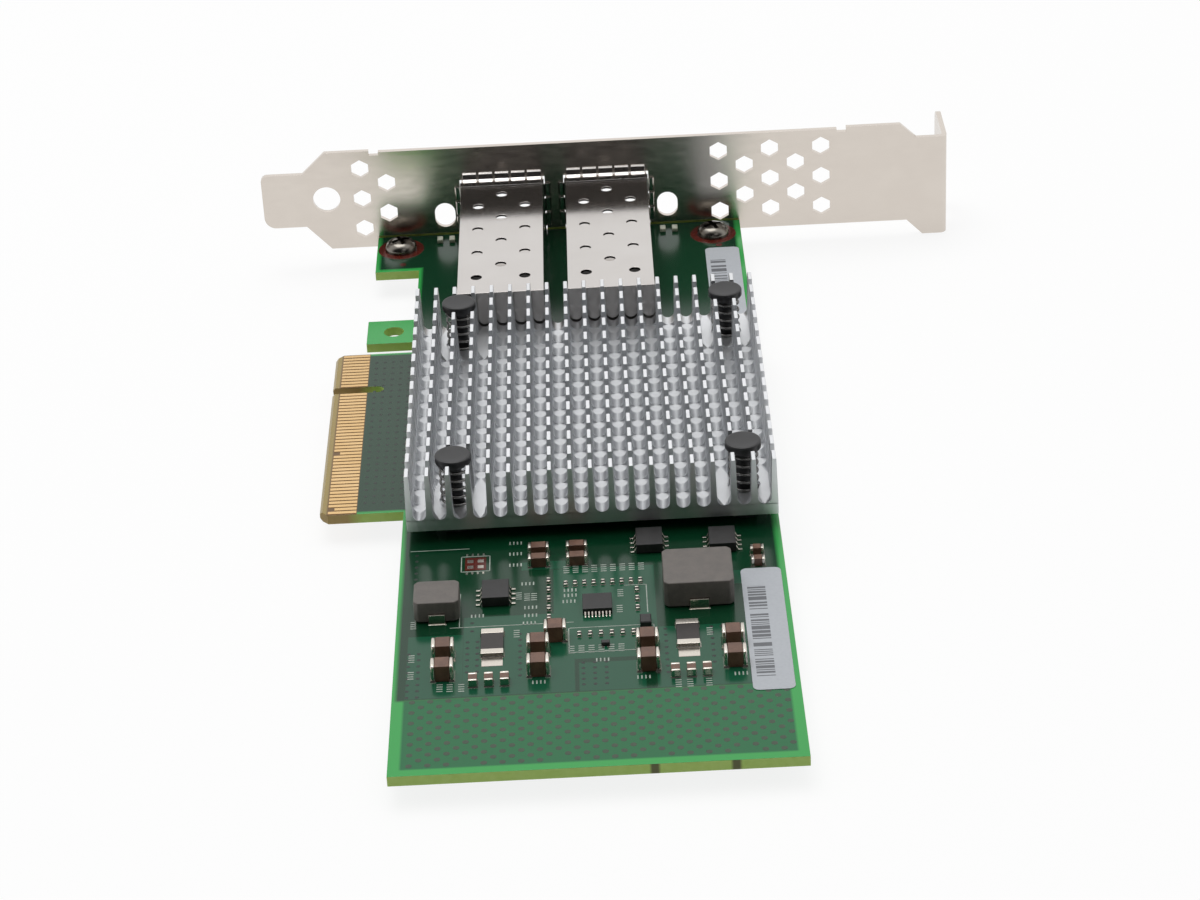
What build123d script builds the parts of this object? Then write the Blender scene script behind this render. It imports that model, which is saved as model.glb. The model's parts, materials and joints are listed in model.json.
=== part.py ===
"""A two-port network interface card for a server's eight-lane expansion slot.

The card lies with its component side up. X runs from the gold contact edge to the card's top
edge, Y runs along the card towards the bracket, and Z rises from the component side. The origin
is where the key notch's centre line meets the contact edge, on the component side.
All sizes are in millimetres.
"""

from build123d import *
import os

os.makedirs("parts", exist_ok=True)

# Circuit board
board_thickness = 1.57
card_height = 68.9
tab_depth = 12.75
board_length = 163.5
board_bracket_gap = 0.4

# Contact tab, which plugs into the slot
contact_pitch = 1.0
contact_width = 0.7
contact_outer = 1.3
contact_inner = 5.6
contact_thickness = 0.05
short_contact_setback = 0.95
contacts_before_key = 11
contacts_after_key = 38
short_contacts = (31, 48)
key_to_contact = 1.5
key_width = 1.9
key_depth = 8.25
tab_margin = 0.65
tab_chamfer = 1.3
edge_bevel_depth = 0.42

# Screw wing beside the bracket, and the retention tab between it and the contact tab
wing_edge = 5.2
wing_length = 13.7
hook_edge = 4.8
hook_near = 15.7
hook_width = 8.1
hook_hole_radius = 1.0
hook_hole_inset = 4.4

# Bracket, one folded sheet of steel
bracket_to_key = 57.15
bracket_thickness = 0.86
bracket_low = -1.85
bracket_width = 18.42
bracket_length = 120.02
bracket_end = -14.5
tongue_width = 10.05
tongue_length = 7.3
tongue_low_corner = 2.0
tongue_high_corner = 1.1
tongue_rise = 4.5
shoulder_run = 4.1
flange_depth = 11.43
flange_drop = 2.85
flange_width = 18.6
flange_slope = 2.8
flange_shoulder = 5.4
flange_low_shoulder = 4.3
bend_radius = 1.2
flange_corner = 2.0
lip_start = 6.4
lip_length = 79.8
lip_depth = 0.65
lip_bend = 0.7
lip_relief_width = 1.7
lip_relief_depth = 0.86
hex_flats = 3.0
hex_column_pitch = 4.47
hex_row_pitch = 5.75
hex_middle_z = 7.47
hex_left_x = 2.95
hex_left_columns = 2
hex_right_x = 65.58
hex_right_columns = 5
round_hole_x = -3.3
round_hole_z = 7.7
round_hole_radius = 2.4
window_x = (17.25, 56.35)
window_z = 3.6
window_width = 3.6
window_height = 4.6
notch_width = 4.42
notch_depth = 7.0
notch_from_face = 6.35

# Screw tabs of the bracket, under the board, and their screws
screw_x = (9.4, 64.0)
screw_from_bracket = 5.4
screw_tab_width = 8.5
screw_tab_length = 9.6
screw_tab_corner = 2.0
screw_radius = 1.45
screw_clearance = 0.2
thread_clearance = 0.05
screw_head_radius = 2.75
screw_head_height = 1.9
screw_head_chamfer = 0.6
screw_length_past_tab = 0.8
recess_length = 2.9
recess_width = 0.6
recess_depth = 1.0
screw_head_sides = 20

# Port cages, folded from thin sheet
first_port_x = 27.6
port_pitch = 18.15
cage_width = 14.2
cage_height = 9.8
cage_length = 47.6
cage_wall = 0.4
cage_reach = 3.45
cage_cutout_gap = 0.35
cage_floor_length = 30.0
vent_radius = 0.95
vent_pitch = 9.05
vent_side_step = 4.0
vent_first = 5.8
vent_middle_shift = 4.55
vent_rows = 4

# Sides of the small round openings and stems, which are drawn as polygons
small_sides = 12

# Spring fingers that close the gap between a cage and the bracket
finger_sheet = 0.2
finger_width = 2.4
finger_pitch = 2.82
finger_rise = 2.2
side_finger_rise = 1.3
finger_bend = 0.9
collar_length = 1.6
top_fingers = 5
side_fingers = 3

# Host connector on the board inside each cage
connector_width = 11.6
connector_length = 12.0
connector_height = 6.4
connector_rear_gap = 1.2
connector_slot_width = 9.4
connector_slot_height = 2.2
connector_slot_depth = 7.0
connector_slot_z = 3.1

# Heatsink, extruded fins that are cut across into pins
sink_gap = 2.0
sink_base = 1.85
sink_length = 61.0
sink_cage_gap = 0.45
sink_tab_gap = 1.0
sink_edge_gap = 0.15
fin_count = 19
fin_thickness = 1.0
fin_height = 7.55
pin_length = 2.5
pin_rows = 14
channel_hollow = 0.4

# Spring-loaded push pins that hold the heatsink to the board
push_pin_inset = (7.25, 4.75)
push_pin_rows = (2, 13)
push_head_radius = 2.7
push_head_height = 1.5
push_head_sides = 16
push_head_top = 11.6
push_shaft_radius = 1.2
push_hole_clearance = 0.25
push_tip_radius = 1.75
push_tip_length = 1.9
spring_radius = 2.15
spring_wire = 0.5
spring_turns = 4.5
spring_sides = 8
spring_end_gap = 0.06
spring_clearance = 0.3
seat_depth = 0.4
collar_radius = 3.3
head_to_fin_gap = 0.3

# Controller chip and the thermal pad on it
chip_side = 25.0
chip_base = 0.7
chip_lid_side = 22.0
pad_side = 20.0
pad_thickness = 0.3

# Parts behind the heatsink are placed by two values: a share of the way from the tab's depth to
# the rear label, and the distance back from the heatsink.

# Power stage: two chokes, as length, width and height, with a terminal at each end
large_choke = (10.0, 9.4, 4.2)
large_choke_at = (0.873, 16.65)
large_terminal_width = 2.7
small_choke = (6.5, 6.0, 3.4)
small_choke_at = (0.118, 19.15)
small_terminal_width = 2.3
choke_corner = 0.6
choke_terminal_reach = 0.35
choke_terminal_rise = 1.5
choke_standoff = 0.2

# Chip capacitors and resistors, as length, width and height, and the length of an end cap
power_cap = (3.2, 2.5, 2.5)
power_cap_end = 0.6
filter_cap = (2.0, 1.25, 1.25)
filter_cap_end = 0.45
signal_cap = (3.1, 1.6, 1.6)
signal_cap_end = 0.5
sense_resistor = (6.4, 3.2, 0.7)
sense_resistor_end = 1.2
small_chip = (1.0, 0.55, 0.45)
small_chip_end = 0.25
side_cap_inset = 3.9

# Packages with leads, as length, width and height of the body
so_body = (3.9, 4.9, 1.5)
so_span = 5.7
so_lead_pitch = 1.27
so_lead_width = 0.42
so_leads = 4
driver_body = (4.1, 4.2, 0.95)
driver_span = 5.8
driver_lead_pitch = 0.5
driver_lead_width = 0.22
driver_leads = 8
package_standoff = 0.1
lead_sheet = 0.18

# Status lights behind the bracket's windows
light_size = (1.0, 1.6, 0.7)
light_spacing = 2.1
light_from_bracket = 3.2

# Paper labels
label_width = 5.85
label_length = 31.4
label_thickness = 0.1
label_corner = 0.5
label_inset = 0.75
rear_label_back = 27.45
front_label_from_bracket = 26.89

# Worked out from the sizes above
bracket_inner = bracket_to_key - bracket_thickness
bracket_high = bracket_low + bracket_width
board_front = bracket_inner - board_bracket_gap
board_rear = board_front - board_length
tab_front = key_to_contact + (contacts_before_key - 1) * contact_pitch + tab_margin
tab_rear = -key_to_contact - (contacts_after_key - 1) * contact_pitch - tab_margin
flange_x = bracket_end + bracket_length
flange_low = bracket_low - flange_drop
port_xs = (first_port_x, first_port_x + port_pitch)
cage_front = bracket_to_key + cage_reach
cage_rear = cage_front - cage_length
sink_far = cage_rear - sink_cage_gap
sink_near = sink_far - sink_length
sink_width = card_height - sink_edge_gap - tab_depth - sink_tab_gap
sink_left = tab_depth + sink_tab_gap
sink_centre_x = sink_left + sink_width / 2
fin_pitch = (sink_width - fin_thickness) / (fin_count - 1)
pin_pitch = (sink_length - pin_length) / (pin_rows - 1)
sink_floor = sink_gap + sink_base
sink_top = sink_floor + fin_height
fin_xs = [sink_left + fin_thickness / 2 + fin_pitch * i for i in range(fin_count)]
row_ys = [sink_far - pin_length / 2 - pin_pitch * i for i in reversed(range(pin_rows))]
screw_y = bracket_inner - screw_from_bracket
screw_points = [(x, screw_y) for x in screw_x]
push_pin_x = (sink_left + push_pin_inset[0], sink_left + sink_width - push_pin_inset[1])
push_points = [(x, row_ys[row - 1]) for x in push_pin_x for row in push_pin_rows]
push_hole_radius = push_shaft_radius + push_hole_clearance
label_left = card_height - label_inset - label_width


def rear_place(share, back):
    """A place behind the heatsink: a share of the way to the rear label, and a distance back."""
    return tab_depth + share * (label_left - tab_depth), sink_near - back


def save(part, name):
    """Label a finished piece and write it as one STEP file."""
    part.label = name
    export_step(part, f"parts/{name}.step")


# Circuit board: one routed outline with its key notch and holes, and a bevelled contact edge
with BuildPart() as circuit_board:
    with BuildSketch(Plane.XY.offset(-board_thickness)):
        with BuildLine():
            Polyline(
                (tab_depth, board_rear),
                (card_height, board_rear),
                (card_height, board_front),
                (wing_edge, board_front),
                (wing_edge, board_front - wing_length),
                (tab_depth, board_front - wing_length),
                (tab_depth, hook_near + hook_width),
                (hook_edge, hook_near + hook_width),
                (hook_edge, hook_near),
                (tab_depth, hook_near),
                (tab_depth, tab_front),
                (tab_chamfer, tab_front),
                (0, tab_front - tab_chamfer),
                (0, tab_rear + tab_chamfer),
                (tab_chamfer, tab_rear),
                (tab_depth, tab_rear),
                close=True,
            )
        make_face()
        with Locations((key_depth / 2 - key_width / 4, 0)):
            Rectangle(key_depth - key_width / 2, key_width, mode=Mode.SUBTRACT)
        with Locations((key_depth - key_width / 2, 0)):
            Circle(key_width / 2, mode=Mode.SUBTRACT)
        with Locations((hook_edge + hook_hole_inset, hook_near + hook_width / 2)):
            Circle(hook_hole_radius, mode=Mode.SUBTRACT)
        with Locations(*screw_points):
            Circle(screw_radius + screw_clearance, mode=Mode.SUBTRACT)
        with Locations(*push_points):
            RegularPolygon(push_hole_radius, small_sides, major_radius=False, mode=Mode.SUBTRACT)
    extrude(amount=board_thickness)
    contact_edges = circuit_board.edges().filter_by(Axis.Y).group_by(Axis.X)[0]
    chamfer(contact_edges, length=edge_bevel_depth)
save(circuit_board.part, "circuit_board")


def contact_row(z, shorts):
    """The gold contacts on one face of the tab; those in shorts stop short of the edge."""
    before = [key_to_contact + contact_pitch * i for i in range(contacts_before_key)]
    after = [-key_to_contact - contact_pitch * i for i in range(contacts_after_key)]
    with BuildPart() as contacts:
        for number, y in enumerate(before[::-1] + after, start=1):
            outer = contact_outer + (short_contact_setback if number in shorts else 0)
            with Locations(((outer + contact_inner) / 2, y, z)):
                Box(
                    contact_inner - outer,
                    contact_width,
                    contact_thickness,
                    align=(Align.CENTER, Align.CENTER, Align.MIN),
                )
    return contacts.part


save(contact_row(0, short_contacts), "edge_contacts_component_side")
save(contact_row(-board_thickness - contact_thickness, (1,)), "edge_contacts_solder_side")


def vent_points(first_x, columns):
    """Centres of a staggered block of vents: three in one column, two in the next."""
    points = []
    for column in range(columns):
        for step in (-1, 0, 1) if column % 2 == 0 else (-0.5, 0.5):
            points.append((first_x + column * hex_column_pitch, hex_middle_z + step * hex_row_pitch))
    return points


def folded_sheet(points, radius, sheet, side):
    """Section of a sheet that is folded once, with its outer face along the given points."""
    with BuildSketch() as section:
        with BuildLine():
            FilletPolyline(*points, radius=radius)
            offset(amount=sheet, side=side)
        make_face()
    return section.sketch


def creased_finger(root, corner, tip):
    """Section of a thin finger that turns a corner in two creases, given its outer points."""
    first = corner + (root - corner).normalized() * finger_bend
    second = corner + (tip - corner).normalized() * finger_bend
    turn = finger_sheet * 0.4142
    inward = (tip - corner).normalized() * finger_sheet
    back = (root - corner).normalized() * finger_sheet
    with BuildSketch() as section:
        with BuildLine():
            Polyline(
                root,
                first,
                second,
                tip,
                tip + back,
                second + back + (tip - corner).normalized() * turn,
                first + inward + (root - corner).normalized() * turn,
                root + inward,
                close=True,
            )
        make_face()
    return section.sketch


# Bracket: the plate with its openings, then the stiffening lip, the flange and the screw tabs
plate_plane = Plane(origin=(0, bracket_to_key, 0), x_dir=(1, 0, 0), z_dir=(0, -1, 0))
shoulder_x = bracket_end + tongue_length
tongue_low = bracket_low + tongue_rise
plate_end = flange_x - bend_radius
lip_end = lip_start + lip_length
tab_bottom = -board_thickness - bracket_thickness
flange_path = [
    (plate_end - bend_radius, bracket_inner),
    (flange_x, bracket_inner),
    (flange_x, bracket_to_key + flange_depth),
]
tab_path = [
    (bracket_to_key, bracket_low + bend_radius),
    (bracket_to_key, tab_bottom),
    (bracket_inner - screw_tab_length, tab_bottom),
]
flange_section = folded_sheet(flange_path, bend_radius, bracket_thickness, Side.LEFT)
tab_section = folded_sheet(tab_path, bend_radius, bracket_thickness, Side.RIGHT)

with BuildPart() as io_bracket:
    with BuildSketch(plate_plane) as plate:
        with BuildLine():
            Polyline(
                (bracket_end, tongue_low),
                (shoulder_x, tongue_low),
                (shoulder_x + shoulder_run, bracket_low),
                (flange_x - flange_low_shoulder - flange_slope, bracket_low),
                (flange_x - flange_low_shoulder, flange_low),
                (plate_end, flange_low),
                (plate_end, flange_low + flange_width),
                (flange_x - flange_shoulder, flange_low + flange_width),
                (flange_x - flange_shoulder - flange_slope, bracket_high),
                (shoulder_x + shoulder_run, bracket_high),
                (shoulder_x, tongue_low + tongue_width),
                (bracket_end, tongue_low + tongue_width),
                close=True,
            )
        make_face()
        fillet(plate.vertices().sort_by(Axis.X)[:2].sort_by(Axis.Y)[0], tongue_low_corner)
        fillet(plate.vertices().sort_by(Axis.X)[:2].sort_by(Axis.Y)[-1], tongue_high_corner)
        with Locations(*[(x, cage_height / 2) for x in port_xs]):
            Rectangle(
                cage_width + 2 * cage_cutout_gap,
                cage_height + 2 * cage_cutout_gap,
                mode=Mode.SUBTRACT,
            )
        all_vents = vent_points(hex_left_x, hex_left_columns)
        all_vents += vent_points(hex_right_x, hex_right_columns)
        with Locations(*all_vents):
            RegularPolygon(hex_flats / 2, 6, major_radius=False, rotation=30, mode=Mode.SUBTRACT)
        with Locations((round_hole_x, round_hole_z)):
            Circle(round_hole_radius, mode=Mode.SUBTRACT)
        with Locations(*[(x, window_z) for x in window_x]):
            SlotOverall(window_height, window_width, rotation=90, mode=Mode.SUBTRACT)
    extrude(amount=bracket_thickness)

    with Locations(((lip_start + lip_end) / 2, bracket_inner, bracket_high)):
        Box(lip_length, lip_depth, bracket_thickness, align=(Align.CENTER, Align.MAX, Align.MAX))
    relief_xs = (lip_start - lip_relief_width / 2, lip_end + lip_relief_width / 2)
    with Locations(*[(x, bracket_to_key, bracket_high) for x in relief_xs]):
        Box(lip_relief_width, 3 * bracket_thickness, 2 * lip_relief_depth, mode=Mode.SUBTRACT)
    top_edges = io_bracket.edges().filter_by(Axis.X).group_by(Axis.Z)[-1]
    fillet(top_edges.sort_by(SortBy.LENGTH)[-2:].sort_by(Axis.Y)[-1], lip_bend)

    with BuildSketch(Plane.XY.offset(flange_low)):
        add(flange_section)
    extrude(amount=flange_width)
    flange_ends = io_bracket.edges().filter_by(Axis.X).group_by(Axis.Y)[-1]
    fillet(flange_ends, flange_corner)
    with BuildSketch(Plane.YZ.offset(flange_x - 2 * bracket_thickness)):
        with Locations((bracket_to_key + notch_from_face, flange_low)):
            SlotOverall(2 * notch_depth, notch_width, rotation=90)
    extrude(amount=3 * bracket_thickness, mode=Mode.SUBTRACT)

    with BuildSketch(*[Plane.YZ.offset(x) for x in screw_x]):
        add(tab_section)
    extrude(amount=screw_tab_width / 2, both=True)
    tab_ends = io_bracket.edges().filter_by(Axis.Z).group_by(Axis.Y)[0]
    fillet(tab_ends, screw_tab_corner)
    with Locations(*[(x, y, tab_bottom) for x, y in screw_points]):
        Cylinder(screw_radius + thread_clearance, 3 * bracket_thickness, mode=Mode.SUBTRACT)
save(io_bracket.part, "io_bracket")


# Screws from the component side into the bracket's tabs
with BuildPart() as bracket_screws:
    for x, y in screw_points:
        with BuildSketch(Plane((x, y, tab_bottom - screw_length_past_tab))):
            RegularPolygon(screw_radius, small_sides)
        extrude(amount=screw_length_past_tab - tab_bottom)
        with BuildSketch(Plane((x, y, 0))):
            RegularPolygon(screw_head_radius, screw_head_sides)
        extrude(amount=screw_head_height)
    chamfer(bracket_screws.edges().group_by(Axis.Z)[-1], length=screw_head_chamfer)
    with Locations(*[(x, y, screw_head_height) for x, y in screw_points]):
        Box(recess_length, recess_width, 2 * recess_depth, mode=Mode.SUBTRACT)
        Box(recess_width, recess_length, 2 * recess_depth, mode=Mode.SUBTRACT)
save(bracket_screws.part, "bracket_screws")


def port_cage(x):
    """A sheet cage: open at the mouth, and in the floor where the connector stands."""
    mouth = Plane(origin=(x, cage_front, 0), x_dir=(1, 0, 0), z_dir=(0, -1, 0))
    with BuildPart() as cage:
        with BuildSketch(mouth):
            Rectangle(cage_width, cage_height, align=(Align.CENTER, Align.MIN))
        extrude(amount=cage_length)
        with BuildSketch(mouth):
            with Locations((0, cage_wall)):
                Rectangle(
                    cage_width - 2 * cage_wall,
                    cage_height - 2 * cage_wall,
                    align=(Align.CENTER, Align.MIN),
                )
        extrude(amount=cage_length - cage_wall, mode=Mode.SUBTRACT)
        with Locations((x, cage_rear, 0)):
            Box(
                cage_width - 2 * cage_wall,
                cage_length - cage_floor_length,
                2 * cage_wall,
                align=(Align.CENTER, Align.MIN, Align.CENTER),
                mode=Mode.SUBTRACT,
            )
        vents = []
        for row in range(vent_rows):
            y = cage_rear + vent_first + row * vent_pitch
            vents.append((x, y + vent_middle_shift, cage_height))
            vents.append((x - vent_side_step, y, cage_height))
            vents.append((x + vent_side_step, y, cage_height))
        with BuildSketch(*[Plane(vent) for vent in vents]):
            RegularPolygon(vent_radius, small_sides)
        extrude(amount=-2 * cage_wall, mode=Mode.SUBTRACT)
    return cage.part


def spring_collar(x):
    """A thin band over the cage, with fingers that curl out against the bracket."""
    side_x = cage_width / 2
    start = bracket_inner - finger_bend - finger_sheet
    band = Plane(origin=(x, start + finger_sheet, 0), x_dir=(1, 0, 0), z_dir=(0, -1, 0))
    top_section = creased_finger(
        Vector(start, cage_height),
        Vector(bracket_inner, cage_height),
        Vector(bracket_inner, cage_height + finger_rise),
    )
    with BuildPart() as collar:
        with BuildSketch(band):
            Rectangle(
                cage_width + 2 * finger_sheet,
                cage_height + finger_sheet,
                align=(Align.CENTER, Align.MIN),
            )
            Rectangle(cage_width, cage_height, align=(Align.CENTER, Align.MIN), mode=Mode.SUBTRACT)
        extrude(amount=collar_length)
        first = x - finger_pitch * (top_fingers - 1) / 2
        with BuildSketch(*[Plane.YZ.offset(first + finger_pitch * i) for i in range(top_fingers)]):
            add(top_section)
        extrude(amount=finger_width / 2, both=True)
        first = cage_height / 2 - finger_pitch * (side_fingers - 1) / 2
        levels = [Plane.XY.offset(first + finger_pitch * i) for i in range(side_fingers)]
        for sign in (-1, 1):
            side_section = creased_finger(
                Vector(x + sign * side_x, start),
                Vector(x + sign * side_x, bracket_inner),
                Vector(x + sign * (side_x + side_finger_rise), bracket_inner),
            )
            with BuildSketch(*levels):
                add(side_section)
            extrude(amount=finger_width / 2, both=True)
    return collar.part


def port_connector(x):
    """The connector at the back of a cage, with the slot that takes a module's edge."""
    rear = cage_rear + cage_wall + connector_rear_gap
    with BuildPart() as connector:
        with Locations((x, rear, 0)):
            Box(
                connector_width,
                connector_length,
                connector_height,
                align=(Align.CENTER, Align.MIN, Align.MIN),
            )
        with Locations((x, rear + connector_length, connector_slot_z)):
            Box(
                connector_slot_width,
                2 * connector_slot_depth,
                connector_slot_height,
                mode=Mode.SUBTRACT,
            )
    return connector.part


for side, x in zip(("left", "right"), port_xs):
    save(port_cage(x), f"{side}_port_cage")
    save(spring_collar(x), f"{side}_spring_collar")
    save(port_connector(x), f"{side}_port_connector")


# Heatsink: an extruded comb of fins with hollowed channels, cut across into rows of pins
end_plane = Plane(origin=(sink_centre_x, sink_far, 0), x_dir=(1, 0, 0), z_dir=(0, -1, 0))
channel_width = fin_pitch - fin_thickness
cut_floor = sink_floor + channel_hollow
head_reach = push_head_radius + head_to_fin_gap

with BuildPart() as heatsink:
    with BuildSketch(end_plane):
        with Locations((0, sink_gap)):
            Rectangle(sink_width, sink_top - sink_gap, align=(Align.CENTER, Align.MIN))
        with Locations((0, sink_floor)):
            with GridLocations(fin_pitch, 1, fin_count - 1, 1):
                Polygon(
                    (channel_hollow - channel_width / 2, 0),
                    (channel_width / 2 - channel_hollow, 0),
                    (channel_width / 2, channel_hollow),
                    (channel_width / 2, fin_height),
                    (-channel_width / 2, fin_height),
                    (-channel_width / 2, channel_hollow),
                    align=None,
                    mode=Mode.SUBTRACT,
                )
    extrude(amount=sink_length)
    cuts = [(sink_centre_x, (a + b) / 2, cut_floor) for a, b in zip(row_ys, row_ys[1:])]
    with Locations(*cuts):
        Box(
            sink_width,
            pin_pitch - pin_length,
            sink_top - cut_floor,
            align=(Align.CENTER, Align.CENTER, Align.MIN),
            mode=Mode.SUBTRACT,
        )
    missing = []
    for push_x, push_y in push_points:
        for fin_x in fin_xs:
            if abs(fin_x - push_x) < head_reach + fin_thickness / 2:
                missing.append((fin_x, push_y, cut_floor))
    with Locations(*missing):
        Box(
            fin_thickness,
            pin_length,
            sink_top - cut_floor,
            align=(Align.CENTER, Align.CENTER, Align.MIN),
            mode=Mode.SUBTRACT,
        )
    with BuildSketch(*[Plane((x, y, cut_floor)) for x, y in push_points]):
        RegularPolygon(spring_radius + spring_clearance, push_head_sides, major_radius=False)
    extrude(amount=sink_floor - seat_depth - cut_floor, mode=Mode.SUBTRACT)
    with BuildSketch(*[Plane((x, y, sink_floor)) for x, y in push_points]):
        RegularPolygon(push_hole_radius, small_sides, major_radius=False)
    extrude(amount=-sink_base, mode=Mode.SUBTRACT)
save(heatsink.part, "heatsink")


# Push pins: a head above the spring, and a barb that catches under the board
head_bottom = push_head_top - push_head_height
barb_top = -board_thickness
with BuildPart() as push_pins:
    for x, y in push_points:
        with BuildSketch(Plane((x, y, head_bottom))):
            RegularPolygon(push_head_radius, push_head_sides)
        extrude(amount=push_head_height)
        with BuildSketch(Plane((x, y, barb_top))):
            RegularPolygon(push_shaft_radius, small_sides)
        extrude(amount=head_bottom - barb_top)
        with BuildSketch(Plane((x, y, barb_top))):
            RegularPolygon(push_tip_radius, small_sides)
        with BuildSketch(Plane((x, y, barb_top - push_tip_length))):
            RegularPolygon(push_shaft_radius / 2, small_sides)
        loft(ruled=True)
save(push_pins.part, "push_pins")


# Coil springs between the heatsink's seats and the push pins' heads
seat_z = sink_floor - seat_depth
coil_low = seat_z + spring_wire / 2 + spring_end_gap
coil_rise = head_bottom - spring_end_gap - spring_wire / 2 - coil_low
coil_radius = spring_radius - spring_wire / 2
coil_steps = round(spring_turns * spring_sides)
coil_turn = 360 * spring_turns / coil_steps
with BuildPart() as push_pin_springs:
    for x, y in push_points:
        stops = []
        for step in range(coil_steps + 1):
            out = Vector(coil_radius, 0, 0).rotate(Axis.Z, coil_turn * step)
            stops.append(out + Vector(x, y, coil_low + coil_rise * step / coil_steps))
        with BuildLine() as coil:
            wire = Polyline(*stops)
        with BuildSketch(Plane(origin=wire @ 0, x_dir=(1, 0, 0), z_dir=wire % 0)):
            Rectangle(spring_wire, spring_wire)
        sweep(path=coil.wire(), transition=Transition.RIGHT, is_frenet=True)
save(push_pin_springs.part, "push_pin_springs")


# Round stand-offs between the board and the heatsink, one round each push pin
with BuildPart() as standoff_collars:
    with BuildSketch():
        with Locations(*push_points):
            RegularPolygon(collar_radius, small_sides)
            RegularPolygon(push_hole_radius, small_sides, major_radius=False, mode=Mode.SUBTRACT)
    extrude(amount=sink_gap)
save(standoff_collars.part, "standoff_collars")


# Controller chip under the heatsink, and the thermal pad between them
chip_point = (sink_centre_x, (sink_far + sink_near) / 2)
chip_top = sink_gap - pad_thickness
with BuildPart() as controller_chip:
    with Locations((*chip_point, 0)):
        Box(chip_side, chip_side, chip_base, align=(Align.CENTER, Align.CENTER, Align.MIN))
        Box(chip_lid_side, chip_lid_side, chip_top, align=(Align.CENTER, Align.CENTER, Align.MIN))
save(controller_chip.part, "controller_chip")

with BuildPart() as thermal_pad:
    with Locations((*chip_point, chip_top)):
        Box(pad_side, pad_side, pad_thickness, align=(Align.CENTER, Align.CENTER, Align.MIN))
save(thermal_pad.part, "thermal_pad")


def choke(size, at, terminal_width):
    """A pressed choke core and the two terminals that wrap up its ends."""
    length, width, height = size
    x, y = at
    ends = [(x, y - width / 2, 0), (x, y + width / 2, 0)]
    with BuildPart() as terminals:
        with Locations(*ends):
            Box(
                terminal_width,
                2 * choke_terminal_reach,
                choke_terminal_rise,
                align=(Align.CENTER, Align.CENTER, Align.MIN),
            )
    with BuildPart() as core:
        with BuildSketch(Plane.XY.offset(choke_standoff)):
            with Locations(at):
                block = Rectangle(length, width)
            chamfer(block.vertices(), length=choke_corner)
        extrude(amount=height - choke_standoff)
        add(terminals.part, mode=Mode.SUBTRACT)
    return core.part, terminals.part


core, terminals = choke(large_choke, rear_place(*large_choke_at), large_terminal_width)
save(core, "large_choke")
save(terminals, "large_choke_terminals")
core, terminals = choke(small_choke, rear_place(*small_choke_at), small_terminal_width)
save(core, "small_choke")
save(terminals, "small_choke_terminals")


def end_capped(size, end, along_x, along_y):
    """Chip parts as a group of bodies and a group of metal ends, for the two directions."""
    length, width, height = size
    places = [(x, y, 0) for x, y in along_x]
    places += [(x, y, 90) for x, y in along_y]
    turned = [Location((x, y, 0), (0, 0, turn)) for x, y, turn in places]
    with BuildPart() as bodies:
        with Locations(*turned):
            Box(length - 2 * end, width, height, align=(Align.CENTER, Align.CENTER, Align.MIN))
    with BuildPart() as ends:
        with Locations(*turned):
            with Locations((-(length - end) / 2, 0), ((length - end) / 2, 0)):
                Box(end, width, height, align=(Align.CENTER, Align.CENTER, Align.MIN))
    return bodies.part, ends.part


# Where the chip parts stand on the board behind the heatsink
power_cap_places = [rear_place(x, y) for x in (0.14, 0.408, 0.717, 0.959) for y in (30.85, 35.95)]
power_cap_places.append(rear_place(0.457, 27.45))
signal_cap_places = [rear_place(x, y) for x in (0.411, 0.524) for y in (4.65, 7.75)]
filter_cap_places = [rear_place(x + 0.0444 * i, 38.05) for x in (0.225, 0.79) for i in range(3)]
side_cap_places = [(card_height - side_cap_inset, sink_near - back) for back in (7.55, 10.55)]
sense_places = [rear_place(0.2775, 28.45), rear_place(0.8325, 28.45)]
small_places = [rear_place(0.489 + 0.0272 * i, 13.65) for i in range(9)]
small_places += [rear_place(0.525 + 0.0309 * i, 27.15) for i in range(6)]
small_places += [rear_place(0.439, 12.55 + 2.45 * i) for i in range(5)]
small_places += [rear_place(0.695, 16.05 + 2.45 * i) for i in range(3)]

families = {
    "power_capacitor": (power_cap, power_cap_end, power_cap_places, []),
    "signal_capacitor": (signal_cap, signal_cap_end, signal_cap_places, []),
    "filter_capacitor": (filter_cap, filter_cap_end, side_cap_places, filter_cap_places),
    "sense_resistor": (sense_resistor, sense_resistor_end, [], sense_places),
    "chip_resistor": (small_chip, small_chip_end, [], small_places),
}
for family, (size, end, along_x, along_y) in families.items():
    bodies, ends = end_capped(size, end, along_x, along_y)
    save(bodies, f"{family}_bodies")
    save(ends, f"{family}_ends")


def leaded(body, span, lead_pitch, lead_width, lead_count, places, turn):
    """Packages with bent leads on two sides, as a group of bodies and a group of leads."""
    length, width, height = body
    knee = length / 2 + lead_sheet
    middle = package_standoff + height / 2
    with BuildPart() as bodies:
        with Locations(*[Location((x, y, package_standoff), (0, 0, turn)) for x, y in places]):
            Box(length, width, height, align=(Align.CENTER, Align.CENTER, Align.MIN))
    with BuildPart() as leads:
        for x, y in places:
            frame = Plane(origin=(x, y, 0)).rotated((0, 0, turn))
            for sign in (-1, 1):
                for i in range(lead_count):
                    shift = (i - (lead_count - 1) / 2) * lead_pitch
                    side = Plane(
                        origin=frame.from_local_coords((0, shift, 0)),
                        x_dir=frame.x_dir * sign,
                        z_dir=frame.y_dir * -sign,
                    )
                    with BuildSketch(side):
                        with BuildLine():
                            Polyline(
                                (length / 2, middle),
                                (length / 2, middle - lead_sheet),
                                (knee, 0),
                                (span / 2, 0),
                                (span / 2, lead_sheet),
                                (knee + lead_sheet, lead_sheet),
                                close=True,
                            )
                        make_face()
                    extrude(amount=lead_width / 2, both=True)
    return bodies.part, leads.part


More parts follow.
